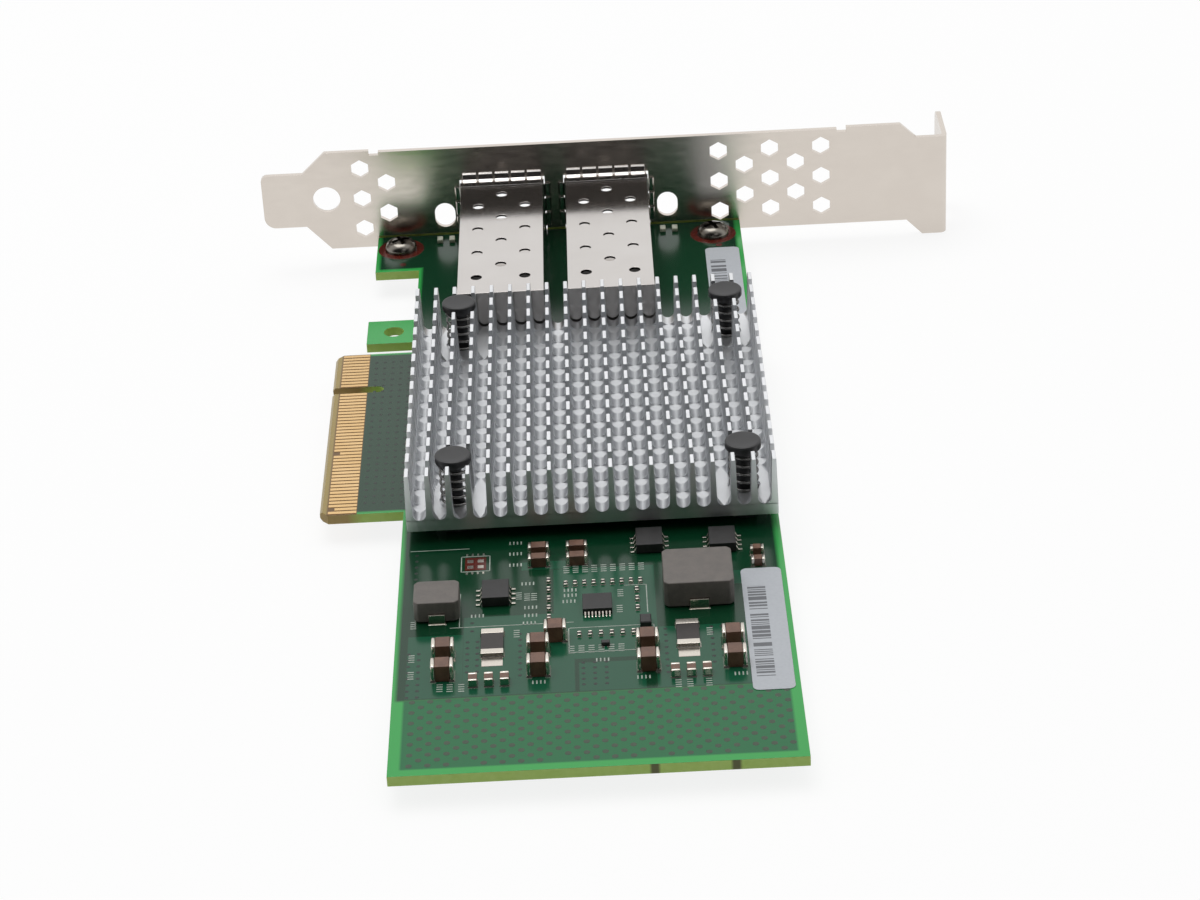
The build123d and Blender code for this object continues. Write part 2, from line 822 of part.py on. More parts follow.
switch_places = [rear_place(0.2855, 16.15), rear_place(0.7395, 3.75), rear_place(0.9555, 4.45)]
driver_places = [rear_place(0.579, 19.95)]
bodies, leads = leaded(so_body, so_span, so_lead_pitch, so_lead_width, so_leads, switch_places, 0)
save(bodies, "power_switch_bodies")
save(leads, "power_switch_leads")
bodies, leads = leaded(
    driver_body, driver_span, driver_lead_pitch, driver_lead_width, driver_leads, driver_places, 90
)
save(bodies, "driver_chip_body")
save(leads, "driver_chip_leads")


# Status lights in pairs behind the bracket's windows
with BuildPart() as status_lights:
    with Locations(*[(x, bracket_inner - light_from_bracket, 0) for x in window_x]):
        with GridLocations(light_spacing, 1, 2, 1):
            Box(*light_size, align=(Align.CENTER, Align.CENTER, Align.MIN))
save(status_lights.part, "status_lights")


def paper_label(y):
    """A plain label with round corners, along the card's top edge."""
    with BuildPart() as label:
        with BuildSketch():
            with Locations((card_height - label_inset - label_width / 2, y)):
                sheet = Rectangle(label_width, label_length)
            chamfer(sheet.vertices(), length=label_corner)
        extrude(amount=label_thickness)
    return label.part


save(paper_label(sink_near - rear_label_back), "rear_label")
save(paper_label(bracket_inner - front_label_from_bracket), "bracket_side_label")
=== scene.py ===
# %% [markdown]
# # Dressing a network interface card
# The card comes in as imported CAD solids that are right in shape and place. This lesson keeps them
# as the guide for everything: sizes are read from their boxes, and each piece made here sits where
# its solid sits. The work is in the finishes, the soft edges and the small repeats.

import json
import math

import bmesh
import bpy
from mathutils import Matrix, Vector


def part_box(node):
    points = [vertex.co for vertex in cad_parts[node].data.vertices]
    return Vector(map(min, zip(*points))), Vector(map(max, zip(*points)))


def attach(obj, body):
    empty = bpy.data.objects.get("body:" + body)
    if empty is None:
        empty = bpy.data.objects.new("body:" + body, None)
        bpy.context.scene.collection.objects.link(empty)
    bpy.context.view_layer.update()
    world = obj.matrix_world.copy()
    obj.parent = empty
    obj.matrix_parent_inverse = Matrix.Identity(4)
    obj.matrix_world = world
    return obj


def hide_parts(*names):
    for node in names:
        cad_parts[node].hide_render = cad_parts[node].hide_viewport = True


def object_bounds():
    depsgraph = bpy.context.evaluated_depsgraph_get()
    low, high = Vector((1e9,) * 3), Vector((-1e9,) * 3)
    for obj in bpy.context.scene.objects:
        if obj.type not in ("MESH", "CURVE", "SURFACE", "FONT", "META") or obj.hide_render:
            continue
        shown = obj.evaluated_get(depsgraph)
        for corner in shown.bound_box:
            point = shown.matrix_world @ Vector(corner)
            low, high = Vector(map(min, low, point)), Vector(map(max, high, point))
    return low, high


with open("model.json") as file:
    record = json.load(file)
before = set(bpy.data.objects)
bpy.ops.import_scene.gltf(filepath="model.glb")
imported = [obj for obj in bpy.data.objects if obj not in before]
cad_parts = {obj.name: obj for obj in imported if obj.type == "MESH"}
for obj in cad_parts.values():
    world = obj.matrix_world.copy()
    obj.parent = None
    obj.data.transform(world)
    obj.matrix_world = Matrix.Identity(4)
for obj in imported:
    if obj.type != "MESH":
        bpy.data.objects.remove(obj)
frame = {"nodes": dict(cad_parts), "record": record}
nodes = frame["nodes"]
cad_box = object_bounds()
slot_of = {part["node"]: part["material_slot"] for part in frame["record"]["subparts"]}
MM = 0.001
print("card box in mm:", [[round(v / MM, 1) for v in corner] for corner in cad_box])

# %% Helper that places things
def placed(name, data, material=None):
    """Links a new object that holds this mesh, lamp or camera, with this material."""
    obj = bpy.data.objects.new(name, data)
    bpy.context.scene.collection.objects.link(obj)
    if material:
        data.materials.clear()
        data.materials.append(material)
    return obj


print("things can be placed")

# %% [markdown]
# ## Camera
# A camera can be placed by eye, or solved from points whose real places are known. This one was
# solved from the card's corners, so each lands on the pixel where the photograph has it. A matrix
# made of the camera's own axes says that more plainly than three Euler angles would.

# %% Camera at the photograph's viewpoint
camera_place = Vector((45.46, -455.70, 247.00)) * MM
yaw, pitch, roll = (math.radians(angle) for angle in (0.364, 29.741, -3.056))
forward = Vector((-math.sin(yaw) * math.cos(pitch), math.cos(yaw) * math.cos(pitch), -math.sin(pitch)))
level = Vector((math.cos(yaw), math.sin(yaw), 0.0))
upward = level.cross(forward)
camera_x = math.cos(roll) * level + math.sin(roll) * upward
camera_y = -math.sin(roll) * level + math.cos(roll) * upward

camera_data = bpy.data.cameras.new("photo_camera")
camera_data.sensor_width = 36.0
camera_data.lens = 96.44
camera_data.clip_start = 0.01
camera = placed("photo_camera", camera_data)
axes = Matrix((camera_x, camera_y, -forward)).transposed().to_4x4()
camera.matrix_world = Matrix.Translation(camera_place) @ axes
bpy.context.scene.camera = camera
print("camera looks along", [round(v, 3) for v in forward])

# %% [markdown]
# ## One helper for nodes
# Materials and Geometry Nodes trees are both made of nodes and links. One function adds a node,
# sets it up, and fills or links its inputs, so every tree reads as a list of steps. Colours are
# written as they look on screen, and one function turns them to the linear values shaders need.

# %% Helpers for colours and nodes
def linear(hex_colour):
    """The linear RGBA of a colour written as it looks on screen."""
    channels = [int(hex_colour[i:i + 2], 16) / 255 for i in (1, 3, 5)]
    return tuple(c / 12.92 if c <= 0.04045 else ((c + 0.055) / 1.055) ** 2.4 for c in channels) + (1.0,)


def add(tree, kind, inputs=None, **settings):
    """Adds a node. An input gets a value, a colour, a socket, or a node, meaning its first output."""
    node = tree.nodes.new(kind)
    for name, value in settings.items():
        setattr(node, name, value)
    for name, value in (inputs or {}).items():
        if isinstance(value, str):
            value = linear(value)
        if isinstance(value, bpy.types.Node):
            value = value.outputs[0]
        if isinstance(value, bpy.types.NodeSocket):
            tree.links.new(value, node.inputs[name])
        else:
            node.inputs[name].default_value = value
    return node


def started(name, **constants):
    """A new material with its shader's constants set: returns material, tree and shader."""
    material = bpy.data.materials.new(name)
    material.use_nodes = True
    tree = material.node_tree
    tree.nodes.clear()
    plain = {key.replace("_", " "): value for key, value in constants.items()}
    shader = add(tree, "ShaderNodeBsdfPrincipled", plain)
    add(tree, "ShaderNodeOutputMaterial", {"Surface": shader})
    return material, tree, shader


def linked(tree, shader, colour, relief, gloss=None):
    """Links a mixed colour, a bump and, where it varies, a roughness to a shader."""
    tree.links.new(colour.outputs[2], shader.inputs["Base Color"])
    tree.links.new(relief.outputs[0], shader.inputs["Normal"])
    if gloss:
        tree.links.new(gloss.outputs[0], shader.inputs["Roughness"])


print("helpers ready")

# %% [markdown]
# ## Studio
# The photograph is a packshot: a white surround, light from everywhere and a little more from
# above and behind, so fronts are much darker than tops. Metal needs a white world to reflect, but so
# much light on the card would bleach it. Light Path tells the two apart: rays from the camera, off
# gloss and through glass see white, and the rays that light the card see a grey that grows with
# height. The camera's side of the room is dark, as it is where a photographer stands, and that
# gives the bright sheet of the cages its dark end.

# %% World
zenith_light, horizon_light, dark_side_light = 0.92, 0.12, 0.03
world = bpy.data.worlds.new("white_studio")
world.use_nodes = True
bpy.context.scene.world = world
bpy.context.scene.view_settings.view_transform = "Standard"
tree = world.node_tree
tree.nodes.clear()
path = add(tree, "ShaderNodeLightPath")
glossy, through = path.outputs["Is Glossy Ray"], path.outputs["Is Transmission Ray"]
mirrored = add(tree, "ShaderNodeMath", {0: glossy, 1: through}, operation="MAXIMUM")
way = add(tree, "ShaderNodeSeparateXYZ", {"Vector": add(tree, "ShaderNodeTexCoord").outputs["Generated"]})
sky = add(
    tree, "ShaderNodeMapRange",
    {"Value": way.outputs["Z"], "To Min": horizon_light, "To Max": zenith_light},
)
lit = add(tree, "ShaderNodeMapRange", {"Value": mirrored, "To Min": sky, "To Max": 1.0})
dark_side = add(
    tree, "ShaderNodeMapRange",
    {"Value": way.outputs["Y"], "From Min": -0.62, "From Max": -0.18, "To Min": dark_side_light},
    interpolation_type="SMOOTHSTEP",
)
lit = add(tree, "ShaderNodeMath", {0: lit, 1: dark_side}, operation="MULTIPLY")
strength = add(
    tree, "ShaderNodeMapRange", {"Value": path.outputs["Is Camera Ray"], "To Min": lit, "To Max": 1.0}
)
white = add(tree, "ShaderNodeBackground", {"Color": (1, 1, 1, 1), "Strength": strength})
add(tree, "ShaderNodeOutputWorld", {"Surface": white})
print("world has", len(tree.nodes), "nodes")

# %% Floor
glow_share, glow_strength = 0.84, 1.02
floor_material = bpy.data.materials.new("pale_floor")
floor_material.use_nodes = True
tree = floor_material.node_tree
tree.nodes.clear()
path = add(tree, "ShaderNodeLightPath")
seen = path.outputs["Is Camera Ray"]
for kind_of_ray in ("Is Glossy Ray", "Is Transmission Ray"):
    seen = add(tree, "ShaderNodeMath", {0: seen, 1: path.outputs[kind_of_ray]}, operation="MAXIMUM")
share = add(tree, "ShaderNodeMath", {0: seen, 1: glow_share}, operation="MULTIPLY")
matt = add(tree, "ShaderNodeBsdfDiffuse", {"Color": "#f2f2f2"})
glow = add(tree, "ShaderNodeEmission", {"Color": (1, 1, 1, 1), "Strength": glow_strength})
both = add(tree, "ShaderNodeMixShader", {0: share, 1: matt, 2: glow})
add(tree, "ShaderNodeOutputMaterial", {"Surface": both})

floor_level = cad_box[0][2]
floor_mesh = bpy.data.meshes.new("studio_floor")
corners = [(x, y, floor_level) for x, y in ((-6, -6), (6, -6), (6, 6), (-6, 6))]
floor_mesh.from_pydata(corners, [], [(0, 1, 2, 3)])
floor = placed("studio_floor", floor_mesh, floor_material)
print("floor at", round(floor_level / MM, 2), "mm")

# %% Lamps
def soft_lamp(name, place, aim, size, share_of_white):
    """A square lamp that lights a white sheet at its aim to this share of white."""
    lamp = bpy.data.lights.new(name, "AREA")
    lamp.size = size
    distance = (Vector(place) - Vector(aim)).length
    lamp.energy = share_of_white * math.pi ** 2 * distance ** 2
    obj = placed(name, lamp)
    obj.location = place
    obj.rotation_euler = (Vector(aim) - Vector(place)).to_track_quat("-Z", "Y").to_euler()
    return obj


middle = (0.04, -0.03, 0.0)
lamps = [
    soft_lamp("top_lamp", (-0.10, 0.25, 1.0), middle, 0.7, 0.44),
    soft_lamp("front_lamp", (0.5, -0.9, 0.8), middle, 0.6, 0.04),
]
print("lamps in watts:", [round(lamp.data.energy, 2) for lamp in lamps])

# %% [markdown]
# ## Metals
# A metal's colour is its reflection, so these are fully metallic, and roughness and a fine bump do
# the work. The grain is stretched the way each was made: rolled sheet along its length, extruded
# aluminium along its fins.

# %% Plated and bare metals
def metal(name, dark, light, roughness, grain_mm, stretch, depth_mm):
    """A metal with a mottled tint, a varied gloss and a fine grain that runs one way."""
    material, tree, shader = started(name, Metallic=1.0)
    place = add(tree, "ShaderNodeTexCoord").outputs["Object"]
    along = add(tree, "ShaderNodeMapping", {"Vector": place, "Scale": stretch})
    grain = add(tree, "ShaderNodeTexNoise", {"Vector": along, "Scale": 1 / (grain_mm * MM), "Detail": 2.0})
    cloud = add(tree, "ShaderNodeTexNoise", {"Vector": place, "Scale": 1 / (7.0 * MM), "Detail": 3.0})
    tint = add(tree, "ShaderNodeMix", {0: cloud, 6: dark, 7: light}, data_type="RGBA")
    gloss = add(
        tree, "ShaderNodeMapRange",
        {
            "Value": grain, "From Min": 0.3, "From Max": 0.7,
            "To Min": roughness * 0.9, "To Max": roughness * 1.12,
        },
    )
    relief = add(tree, "ShaderNodeBump", {"Height": grain, "Distance": depth_mm * MM, "Strength": 0.4})
    linked(tree, shader, tint, relief, gloss)
    return material


# Satin nickel on rolled steel: blurred, warm grey reflections.
bracket_steel = metal("satin_plated_steel", "#d3cac1", "#dcd4cb", 0.24, 0.80, (0.3, 1.0, 1.0), 0.00002)
# Bright nickel on thin spring sheet: sharp reflections with a slight haze.
cage_steel = metal("bright_nickel_sheet", "#cbc6c2", "#d5d1ce", 0.14, 0.60, (1.0, 0.2, 1.0), 0.0002)
# Bare extruded aluminium, sawn across: pale, with soft glints.
sink_aluminium = metal("bare_sawn_aluminium", "#d4d6d8", "#e6e7e9", 0.38, 0.30, (1.0, 0.3, 1.0), 0.003)
# Matt tin on end caps, leads and terminals, with solder on it: soft white shine.
tinned = metal("matt_tin", "#cfc8bd", "#e2dcd2", 0.24, 0.30, (1.0, 1.0, 1.0), 0.0004)
# Gold over nickel on the contacts: pale, with rub marks along the way they slide.
gold = metal("gold_flash", "#dcb57a", "#ecca98", 0.28, 0.25, (0.2, 1.0, 1.0), 0.001)
# Nickel-plated screws: a darker metal with a clear shine in its cross recess.
screw_steel = metal("nickel_plated_screw", "#6b6761", "#8a867f", 0.22, 0.60, (1.0, 1.0, 1.0), 0.001)
# Oiled spring wire: each turn shows a pale line over the black stem.
spring_steel = metal("oiled_spring_wire", "#6a6967", "#8b8a88", 0.24, 0.30, (1.0, 1.0, 1.0), 0.001)
print("metals:", [m.name for m in bpy.data.materials if "floor" not in m.name])

# %% [markdown]
# ## Plastics, ceramics and powders
# These are not metals, so a mottled colour carries them, under a clear reflection that the shader
# adds by itself. The grain sizes are real ones: moulding compound is rough at about a tenth of a
# millimetre, pressed iron powder a little coarser.

# %% Moulded, pressed and fired bodies
def body(name, dark, light, roughness, grain_mm, depth_mm, **constants):
    """A non-metal with a mottled colour and a fine even grain."""
    material, tree, shader = started(name, **constants)
    place = add(tree, "ShaderNodeTexCoord").outputs["Object"]
    grain = add(tree, "ShaderNodeTexNoise", {"Vector": place, "Scale": 1 / (grain_mm * MM), "Detail": 3.0})
    cloud = add(
        tree, "ShaderNodeTexNoise", {"Vector": place, "Scale": 0.1 / (grain_mm * MM), "Detail": 2.0}
    )
    blend = add(tree, "ShaderNodeMix", {0: 0.5, 2: grain, 3: cloud}, data_type="FLOAT")
    spread = add(tree, "ShaderNodeMapRange", {"Value": blend, "From Min": 0.38, "From Max": 0.62})
    tint = add(tree, "ShaderNodeMix", {0: spread, 6: dark, 7: light}, data_type="RGBA")
    gloss = add(
        tree, "ShaderNodeMapRange", {"Value": cloud, "To Min": roughness * 0.85, "To Max": roughness * 1.15}
    )
    relief = add(tree, "ShaderNodeBump", {"Height": grain, "Distance": depth_mm * MM, "Strength": 0.5})
    linked(tree, shader, tint, relief, gloss)
    return material


# Epoxy moulding compound on chip packages: charcoal, dull, faintly speckled.
package_black = body("epoxy_moulding_compound", "#1e1d1d", "#2b2a2a", 0.50, 0.10, 0.010)
# Glass-filled nylon of the push pins and connectors: near black with a soft sheen.
black_nylon = body("black_nylon", "#151517", "#202022", 0.42, 0.25, 0.006)
# Dark nylon of the stand-off collars, a little paler and duller.
collar_nylon = body("dark_nylon", "#2a2a2c", "#343436", 0.45, 0.25, 0.006)
# Fired barium titanate of the capacitors: warm brown, smooth.
ceramic = body("fired_brown_ceramic", "#5f4233", "#775644", 0.38, 0.15, 0.004)
# Glass overcoat on the resistors: dark and glossy.
resistor_glaze = body("resistor_glaze", "#1f1916", "#2c2420", 0.36, 0.20, 0.003)
# Pressed and lacquered iron powder of the chokes: grey and granular.
choke_powder = body("pressed_iron_powder", "#615c58", "#6f6964", 0.55, 0.12, 0.006)
# Clear epoxy over the lamp's chip: milky.
milky_lens = body("milky_epoxy", "#a8ad98", "#c9ccb8", 0.22, 0.30, 0.003)
# Filled silicone of the thermal pad, and the laminate of the chip that it lies on.
grey_silicone = body("filled_silicone", "#83878d", "#9a9ea4", 0.70, 0.20, 0.010)
chip_laminate = body("chip_laminate", "#173324", "#214230", 0.45, 0.20, 0.004)
# Copper under the lacquer, as round the bracket screws: red-brown.
lacquered_copper = body("lacquered_copper", "#4a1710", "#63241a", 0.22, 0.30, 0.003)
# Screen-printed legend ink, a little thin.
legend_ink = body("legend_ink", "#8f998f", "#b9c1b8", 0.55, 0.12, 0.004)
# Copper-filled holes with the lacquer sunk over them.
via_lacquer = body("sunk_lacquer", "#06180f", "#0c2418", 0.35, 0.10, 0.003)
print("materials so far:", len(bpy.data.materials))

# %% [markdown]
# ## Solder mask
# The board is glass cloth in resin, clad in copper and lacquered green. Over copper the lacquer
# looks dark, and where there is none, as along the edges, light comes through the laminate and the
# green is bright. The sawn edge shows the yellow-green laminate itself. The lacquer is glossy, so
# much of its pale look in the photograph is the white studio, which the shader gives by itself.

# %% Rectangles that a shader can draw
def strip(tree, value, low, high, soft):
    """1 between two limits and 0 outside them, with steps twice as wide as soft."""
    limits = ((low - soft, low + soft), (high + soft, high - soft))
    rise, fall = (
        add(tree, "ShaderNodeMapRange", {"Value": value, "From Min": a, "From Max": b}) for a, b in limits
    )
    return add(tree, "ShaderNodeMath", {0: rise, 1: fall}, operation="MULTIPLY")


def rectangle(tree, place, x_low, x_high, y_low, y_high, soft):
    """1 inside a rectangle given in millimetres on the board, and 0 outside."""
    axes = add(tree, "ShaderNodeSeparateXYZ", {"Vector": place})
    across = strip(tree, axes.outputs["X"], x_low * MM, x_high * MM, soft * MM)
    along = strip(tree, axes.outputs["Y"], y_low * MM, y_high * MM, soft * MM)
    return add(tree, "ShaderNodeMath", {0: across, 1: along}, operation="MULTIPLY")


def any_of(tree, place, rectangles, soft):
    """1 inside any of these rectangles, and 0 outside them all."""
    whole = rectangle(tree, place, *rectangles[0], soft)
    for limits in rectangles[1:]:
        area = rectangle(tree, place, *limits, soft)
        whole = add(tree, "ShaderNodeMath", {0: whole, 1: area}, operation="MAXIMUM")
    return whole


print("rectangle masks ready")

# %% Lacquer over copper and over bare laminate
board_lacquer, tree, shader = started("green_solder_mask", IOR=1.46)
place = add(tree, "ShaderNodeTexCoord").outputs["Object"]
cloth = add(tree, "ShaderNodeTexNoise", {"Vector": place, "Scale": 1 / (1.1 * MM), "Detail": 2.0})
drift = add(tree, "ShaderNodeTexNoise", {"Vector": place, "Scale": 1 / (24 * MM), "Detail": 3.0})
over_copper = add(tree, "ShaderNodeMix", {0: drift, 6: "#08321d", 7: "#0d4027"}, data_type="RGBA")
copper_areas = [(13.3, 67.9, -90.0, 57.5), (0.5, 16.0, -38.6, 11.6), (5.9, 16.0, 43.1, 57.5)]
copper = any_of(tree, place, copper_areas, 0.3)
end_field = rectangle(tree, place, 14.4, 67.4, -106.2, -90.0, 0.2)
bright = add(tree, "ShaderNodeMix", {0: end_field, 6: "#37a64f", 7: "#096a3a"}, data_type="RGBA")
lacquer = add(
    tree, "ShaderNodeMix", {0: copper, 6: bright.outputs[2], 7: over_copper.outputs[2]}, data_type="RGBA"
)
print("lacquer so far:", len(tree.nodes), "nodes")

# %% Power planes
# Near the surface they read as paler, greyer fields behind the heatsink.
plane_areas = [
    (14.6, 22.4, -89.6, -74.0), (22.4, 38.0, -89.6, -69.6), (38.6, 47.8, -89.6, -82.6),
    (49.4, 62.2, -89.6, -74.4), (35.2, 49.8, -81.6, -57.8), (30.6, 40.0, -57.6, -55.4),
    (56.4, 62.6, -64.0, -60.4),
]
planes = any_of(tree, place, plane_areas, 0.1)
veil = add(tree, "ShaderNodeMath", {0: planes, 1: 0.55}, operation="MULTIPLY")
lacquer = add(tree, "ShaderNodeMix", {0: veil, 6: lacquer.outputs[2], 7: "#1c6246"}, data_type="RGBA")
print("with the planes:", len(tree.nodes), "nodes")

# %% Bare tongue and sawn edge
# The tongue that carries the contacts has no lacquer: its resin is brown. The sawn edge is tan
# beside it and yellow-green elsewhere, with two dark marks where the card was broken off its panel.
bare = rectangle(tree, place, -1.0, 5.68, -41.0, 13.0, 0.05)
bevel_band = rectangle(tree, place, -1.0, 1.1, -41.0, 13.0, 0.15)
resin = add(tree, "ShaderNodeMix", {0: cloth, 6: "#63461f", 7: "#7c5c33"}, data_type="RGBA")
resin = add(tree, "ShaderNodeMix", {0: bevel_band, 6: resin.outputs[2], 7: "#a08b50"}, data_type="RGBA")
lacquer = add(
    tree, "ShaderNodeMix", {0: bare, 6: lacquer.outputs[2], 7: resin.outputs[2]}, data_type="RGBA"
)
laminate = add(tree, "ShaderNodeMix", {0: cloth, 6: "#a2c45a", 7: "#b8d478"}, data_type="RGBA")
saw_marks = any_of(tree, place, [(47.7, 48.9, -109.0, -106.0), (58.5, 59.7, -109.0, -106.0)], 0.2)
laminate = add(
    tree, "ShaderNodeMix", {0: saw_marks, 6: laminate.outputs[2], 7: "#5a5c34"}, data_type="RGBA"
)
tan_edge = rectangle(tree, place, -1.0, 5.4, -41.0, 13.0, 1.2)
laminate = add(
    tree, "ShaderNodeMix", {0: tan_edge, 6: laminate.outputs[2], 7: "#a88f58"}, data_type="RGBA"
)
print("with the edge:", len(tree.nodes), "nodes")

# %% Faces and edges joined in one finish
normal = add(tree, "ShaderNodeNewGeometry").outputs["Normal"]
facing = add(tree, "ShaderNodeSeparateXYZ", {"Vector": normal})
tilt = add(tree, "ShaderNodeMath", {0: facing.outputs["Z"]}, operation="ABSOLUTE")
flat = add(tree, "ShaderNodeMath", {0: tilt, 1: 0.6}, operation="GREATER_THAN")
colour = add(
    tree, "ShaderNodeMix", {0: flat, 6: laminate.outputs[2], 7: lacquer.outputs[2]}, data_type="RGBA"
)
gloss = add(tree, "ShaderNodeMapRange", {"Value": flat, "To Min": 0.55, "To Max": 0.17})
relief = add(tree, "ShaderNodeBump", {"Height": cloth, "Distance": 0.004 * MM, "Strength": 0.4})
linked(tree, shader, colour, relief, gloss)
print("board lacquer has", len(tree.nodes), "nodes")

# %% [markdown]
# ## Paper labels
# A label is coated paper with printed bars. These bars are only stripes of uneven width: each step
# along the label is dark or pale by chance, so there is nothing in them to be read.

# %% Label paper
bar_step_mm = 0.24
label_paper, tree, shader = started("coated_paper", Roughness=0.5)
place = add(tree, "ShaderNodeTexCoord").outputs["Object"]
axes = add(tree, "ShaderNodeSeparateXYZ", {"Vector": place})
steps = add(tree, "ShaderNodeMath", {0: axes.outputs["Y"], 1: bar_step_mm * MM}, operation="DIVIDE")
step = add(tree, "ShaderNodeMath", {0: steps}, operation="FLOOR")
chance = add(tree, "ShaderNodeTexWhiteNoise", {"W": step}, noise_dimensions="1D")
dark_step = add(tree, "ShaderNodeMath", {0: chance, 1: 0.5}, operation="GREATER_THAN")
zone = any_of(tree, place, [(63.0, 65.6, -88.3, -65.0), (63.0, 65.6, 17.5, 41.0)], 0.03)
bars = add(tree, "ShaderNodeMath", {0: dark_step, 1: zone}, operation="MULTIPLY")
ink = add(tree, "ShaderNodeMath", {0: bars, 1: 0.8}, operation="MULTIPLY")
fibre = add(tree, "ShaderNodeTexNoise", {"Vector": place, "Scale": 1 / (0.5 * MM), "Detail": 4.0})
paper = add(tree, "ShaderNodeMix", {0: fibre, 6: "#afb3b9", 7: "#bec2c7"}, data_type="RGBA")
colour = add(tree, "ShaderNodeMix", {0: ink, 6: paper.outputs[2], 7: "#3c3e43"}, data_type="RGBA")
relief = add(tree, "ShaderNodeBump", {"Height": fibre, "Distance": 0.004 * MM, "Strength": 0.4})
linked(tree, shader, colour, relief)
print("label bars step every", bar_step_mm, "mm")

# %% [markdown]
# ## Soft edges on the solids
# A CAD edge is perfectly sharp and catches no light, which is what gives a computer picture away.
# A copy of a solid is welded, its flat triangles are joined to whole faces, and a narrow bevel goes
# on every real edge. Shading would then run from the round edge far into the flat sheet, so each
# corner's normal is weighted by the size of its faces, and the sheet stays flat. The copy stands
# for the solid, which stays as it is, hidden.

# %% Helpers for meshes and objects
def mesh_of(bm, name):
    """Ends a bmesh as a mesh with this name."""
    mesh = bpy.data.meshes.new(name)
    bm.to_mesh(mesh)
    bm.free()
    return mesh


def box_mm(node):
    """The corners of a node's box, in millimetres."""
    return [Vector(corner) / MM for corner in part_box(node)]


def plain_mesh(obj, name):
    """Turns an object with modifiers into the same object with a plain mesh."""
    depsgraph = bpy.context.evaluated_depsgraph_get()
    mesh = bpy.data.meshes.new_from_object(obj.evaluated_get(depsgraph))
    mesh.name = name
    obj.modifiers.clear()
    obj.data = mesh
    return obj


def tied(obj, slot, *stands_for):
    """Ties a piece to the card and hides the nodes it stands for. Its slot is not used."""
    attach(obj, "root")
    if stands_for:
        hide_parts(*stands_for)
    return obj


def settled(obj, slot, smooth_degrees=30, *stands_for):
    """Shades a piece smooth up to this angle, and ties it to the card."""
    obj.data.shade_smooth()
    obj.data.set_sharp_from_angle(angle=math.radians(smooth_degrees))
    return tied(obj, slot, *stands_for)


print("helpers for meshes ready")

# %% Softened copies of the CAD nodes
def welded(node):
    """A mesh like a CAD node's, with its vertices merged and its flat faces joined."""
    bm = bmesh.new()
    bm.from_mesh(nodes[node].data)
    bmesh.ops.remove_doubles(bm, verts=bm.verts, dist=0.001 * MM)
    bmesh.ops.dissolve_limit(
        bm, angle_limit=math.radians(0.4), verts=bm.verts, edges=bm.edges, use_dissolve_boundaries=False
    )
    return mesh_of(bm, node + "_soft")


def bevelled(obj, width_mm, segments=2):
    """Rounds the edges of an object. Weighted normals keep its large faces flat beside them."""
    obj.data.shade_smooth()
    bevel = obj.modifiers.new("soft_edge", "BEVEL")
    bevel.width = width_mm * MM
    bevel.segments = segments
    bevel.limit_method = "ANGLE"
    bevel.angle_limit = math.radians(28)
    flat_faces = obj.modifiers.new("flat_faces", "WEIGHTED_NORMAL")
    flat_faces.mode = "FACE_AREA"
    flat_faces.weight = 100
    return plain_mesh(obj, obj.data.name)


def softened(node, material, width_mm):
    """A copy of a node with bevelled edges, standing for it."""
    obj = placed(node + "_soft", welded(node), material)
    return tied(bevelled(obj, width_mm), slot_of[node], node)


soft_edges = {
    "io_bracket": (bracket_steel, 0.12), "left_port_cage": (cage_steel, 0.05),
    "right_port_cage": (cage_steel, 0.05),
    "left_port_connector": (black_nylon, 0.10), "right_port_connector": (black_nylon, 0.10),
    "large_choke": (choke_powder, 0.25), "small_choke": (choke_powder, 0.20),
    "large_choke_terminals": (tinned, 0.05), "small_choke_terminals": (tinned, 0.05),
    "power_capacitor_bodies": (ceramic, 0.08), "power_capacitor_ends": (tinned, 0.20),
    "signal_capacitor_bodies": (ceramic, 0.06), "signal_capacitor_ends": (tinned, 0.14),
    "filter_capacitor_bodies": (ceramic, 0.05), "filter_capacitor_ends": (tinned, 0.10),
    "sense_resistor_bodies": (resistor_glaze, 0.06), "sense_resistor_ends": (tinned, 0.06),
    "chip_resistor_bodies": (resistor_glaze, 0.03), "chip_resistor_ends": (tinned, 0.05),
    "power_switch_bodies": (package_black, 0.08), "power_switch_leads": (tinned, 0.03),
    "driver_chip_body": (package_black, 0.06), "driver_chip_leads": (tinned, 0.02),
    "status_lights": (milky_lens, 0.10), "standoff_collars": (collar_nylon, 0.10),
}
for node, (material, width_mm) in soft_edges.items():
    softened(node, material, width_mm)
print("softened nodes:", len(soft_edges))

# %% Shapes through rings of points
def lofted(name, rings):
    """A closed mesh through rings of (x, y, z) points in millimetres. A ring may be one point."""
    bm = bmesh.new()
    rings = [[bm.verts.new((x * MM, y * MM, z * MM)) for x, y, z in ring] for ring in rings]
    sides = max(len(ring) for ring in rings)
    for near, far in zip(rings, rings[1:]):
        for i in range(sides):
            j = (i + 1) % sides
            corners = [near[i % len(near)], far[i % len(far)], far[j % len(far)], near[j % len(near)]]
            bm.faces.new(list(dict.fromkeys(corners)))
    for ring in (rings[0], rings[-1]):
        if len(ring) > 1:
            bm.faces.new(ring)
    bmesh.ops.recalc_face_normals(bm, faces=bm.faces)
    return mesh_of(bm, name)


def turned(name, profile, sides):
    """A shape turned round Z from (radius, height) pairs in millimetres."""
    angles = [2 * math.pi * i / sides for i in range(sides)]
    rings = []
    for radius, height in profile:
        ring = [(radius * math.cos(a), radius * math.sin(a), height) for a in angles]
        rings.append(ring if radius > 0 else ring[:1])
    return lofted(name, rings)


print("lofted and turned shapes ready")

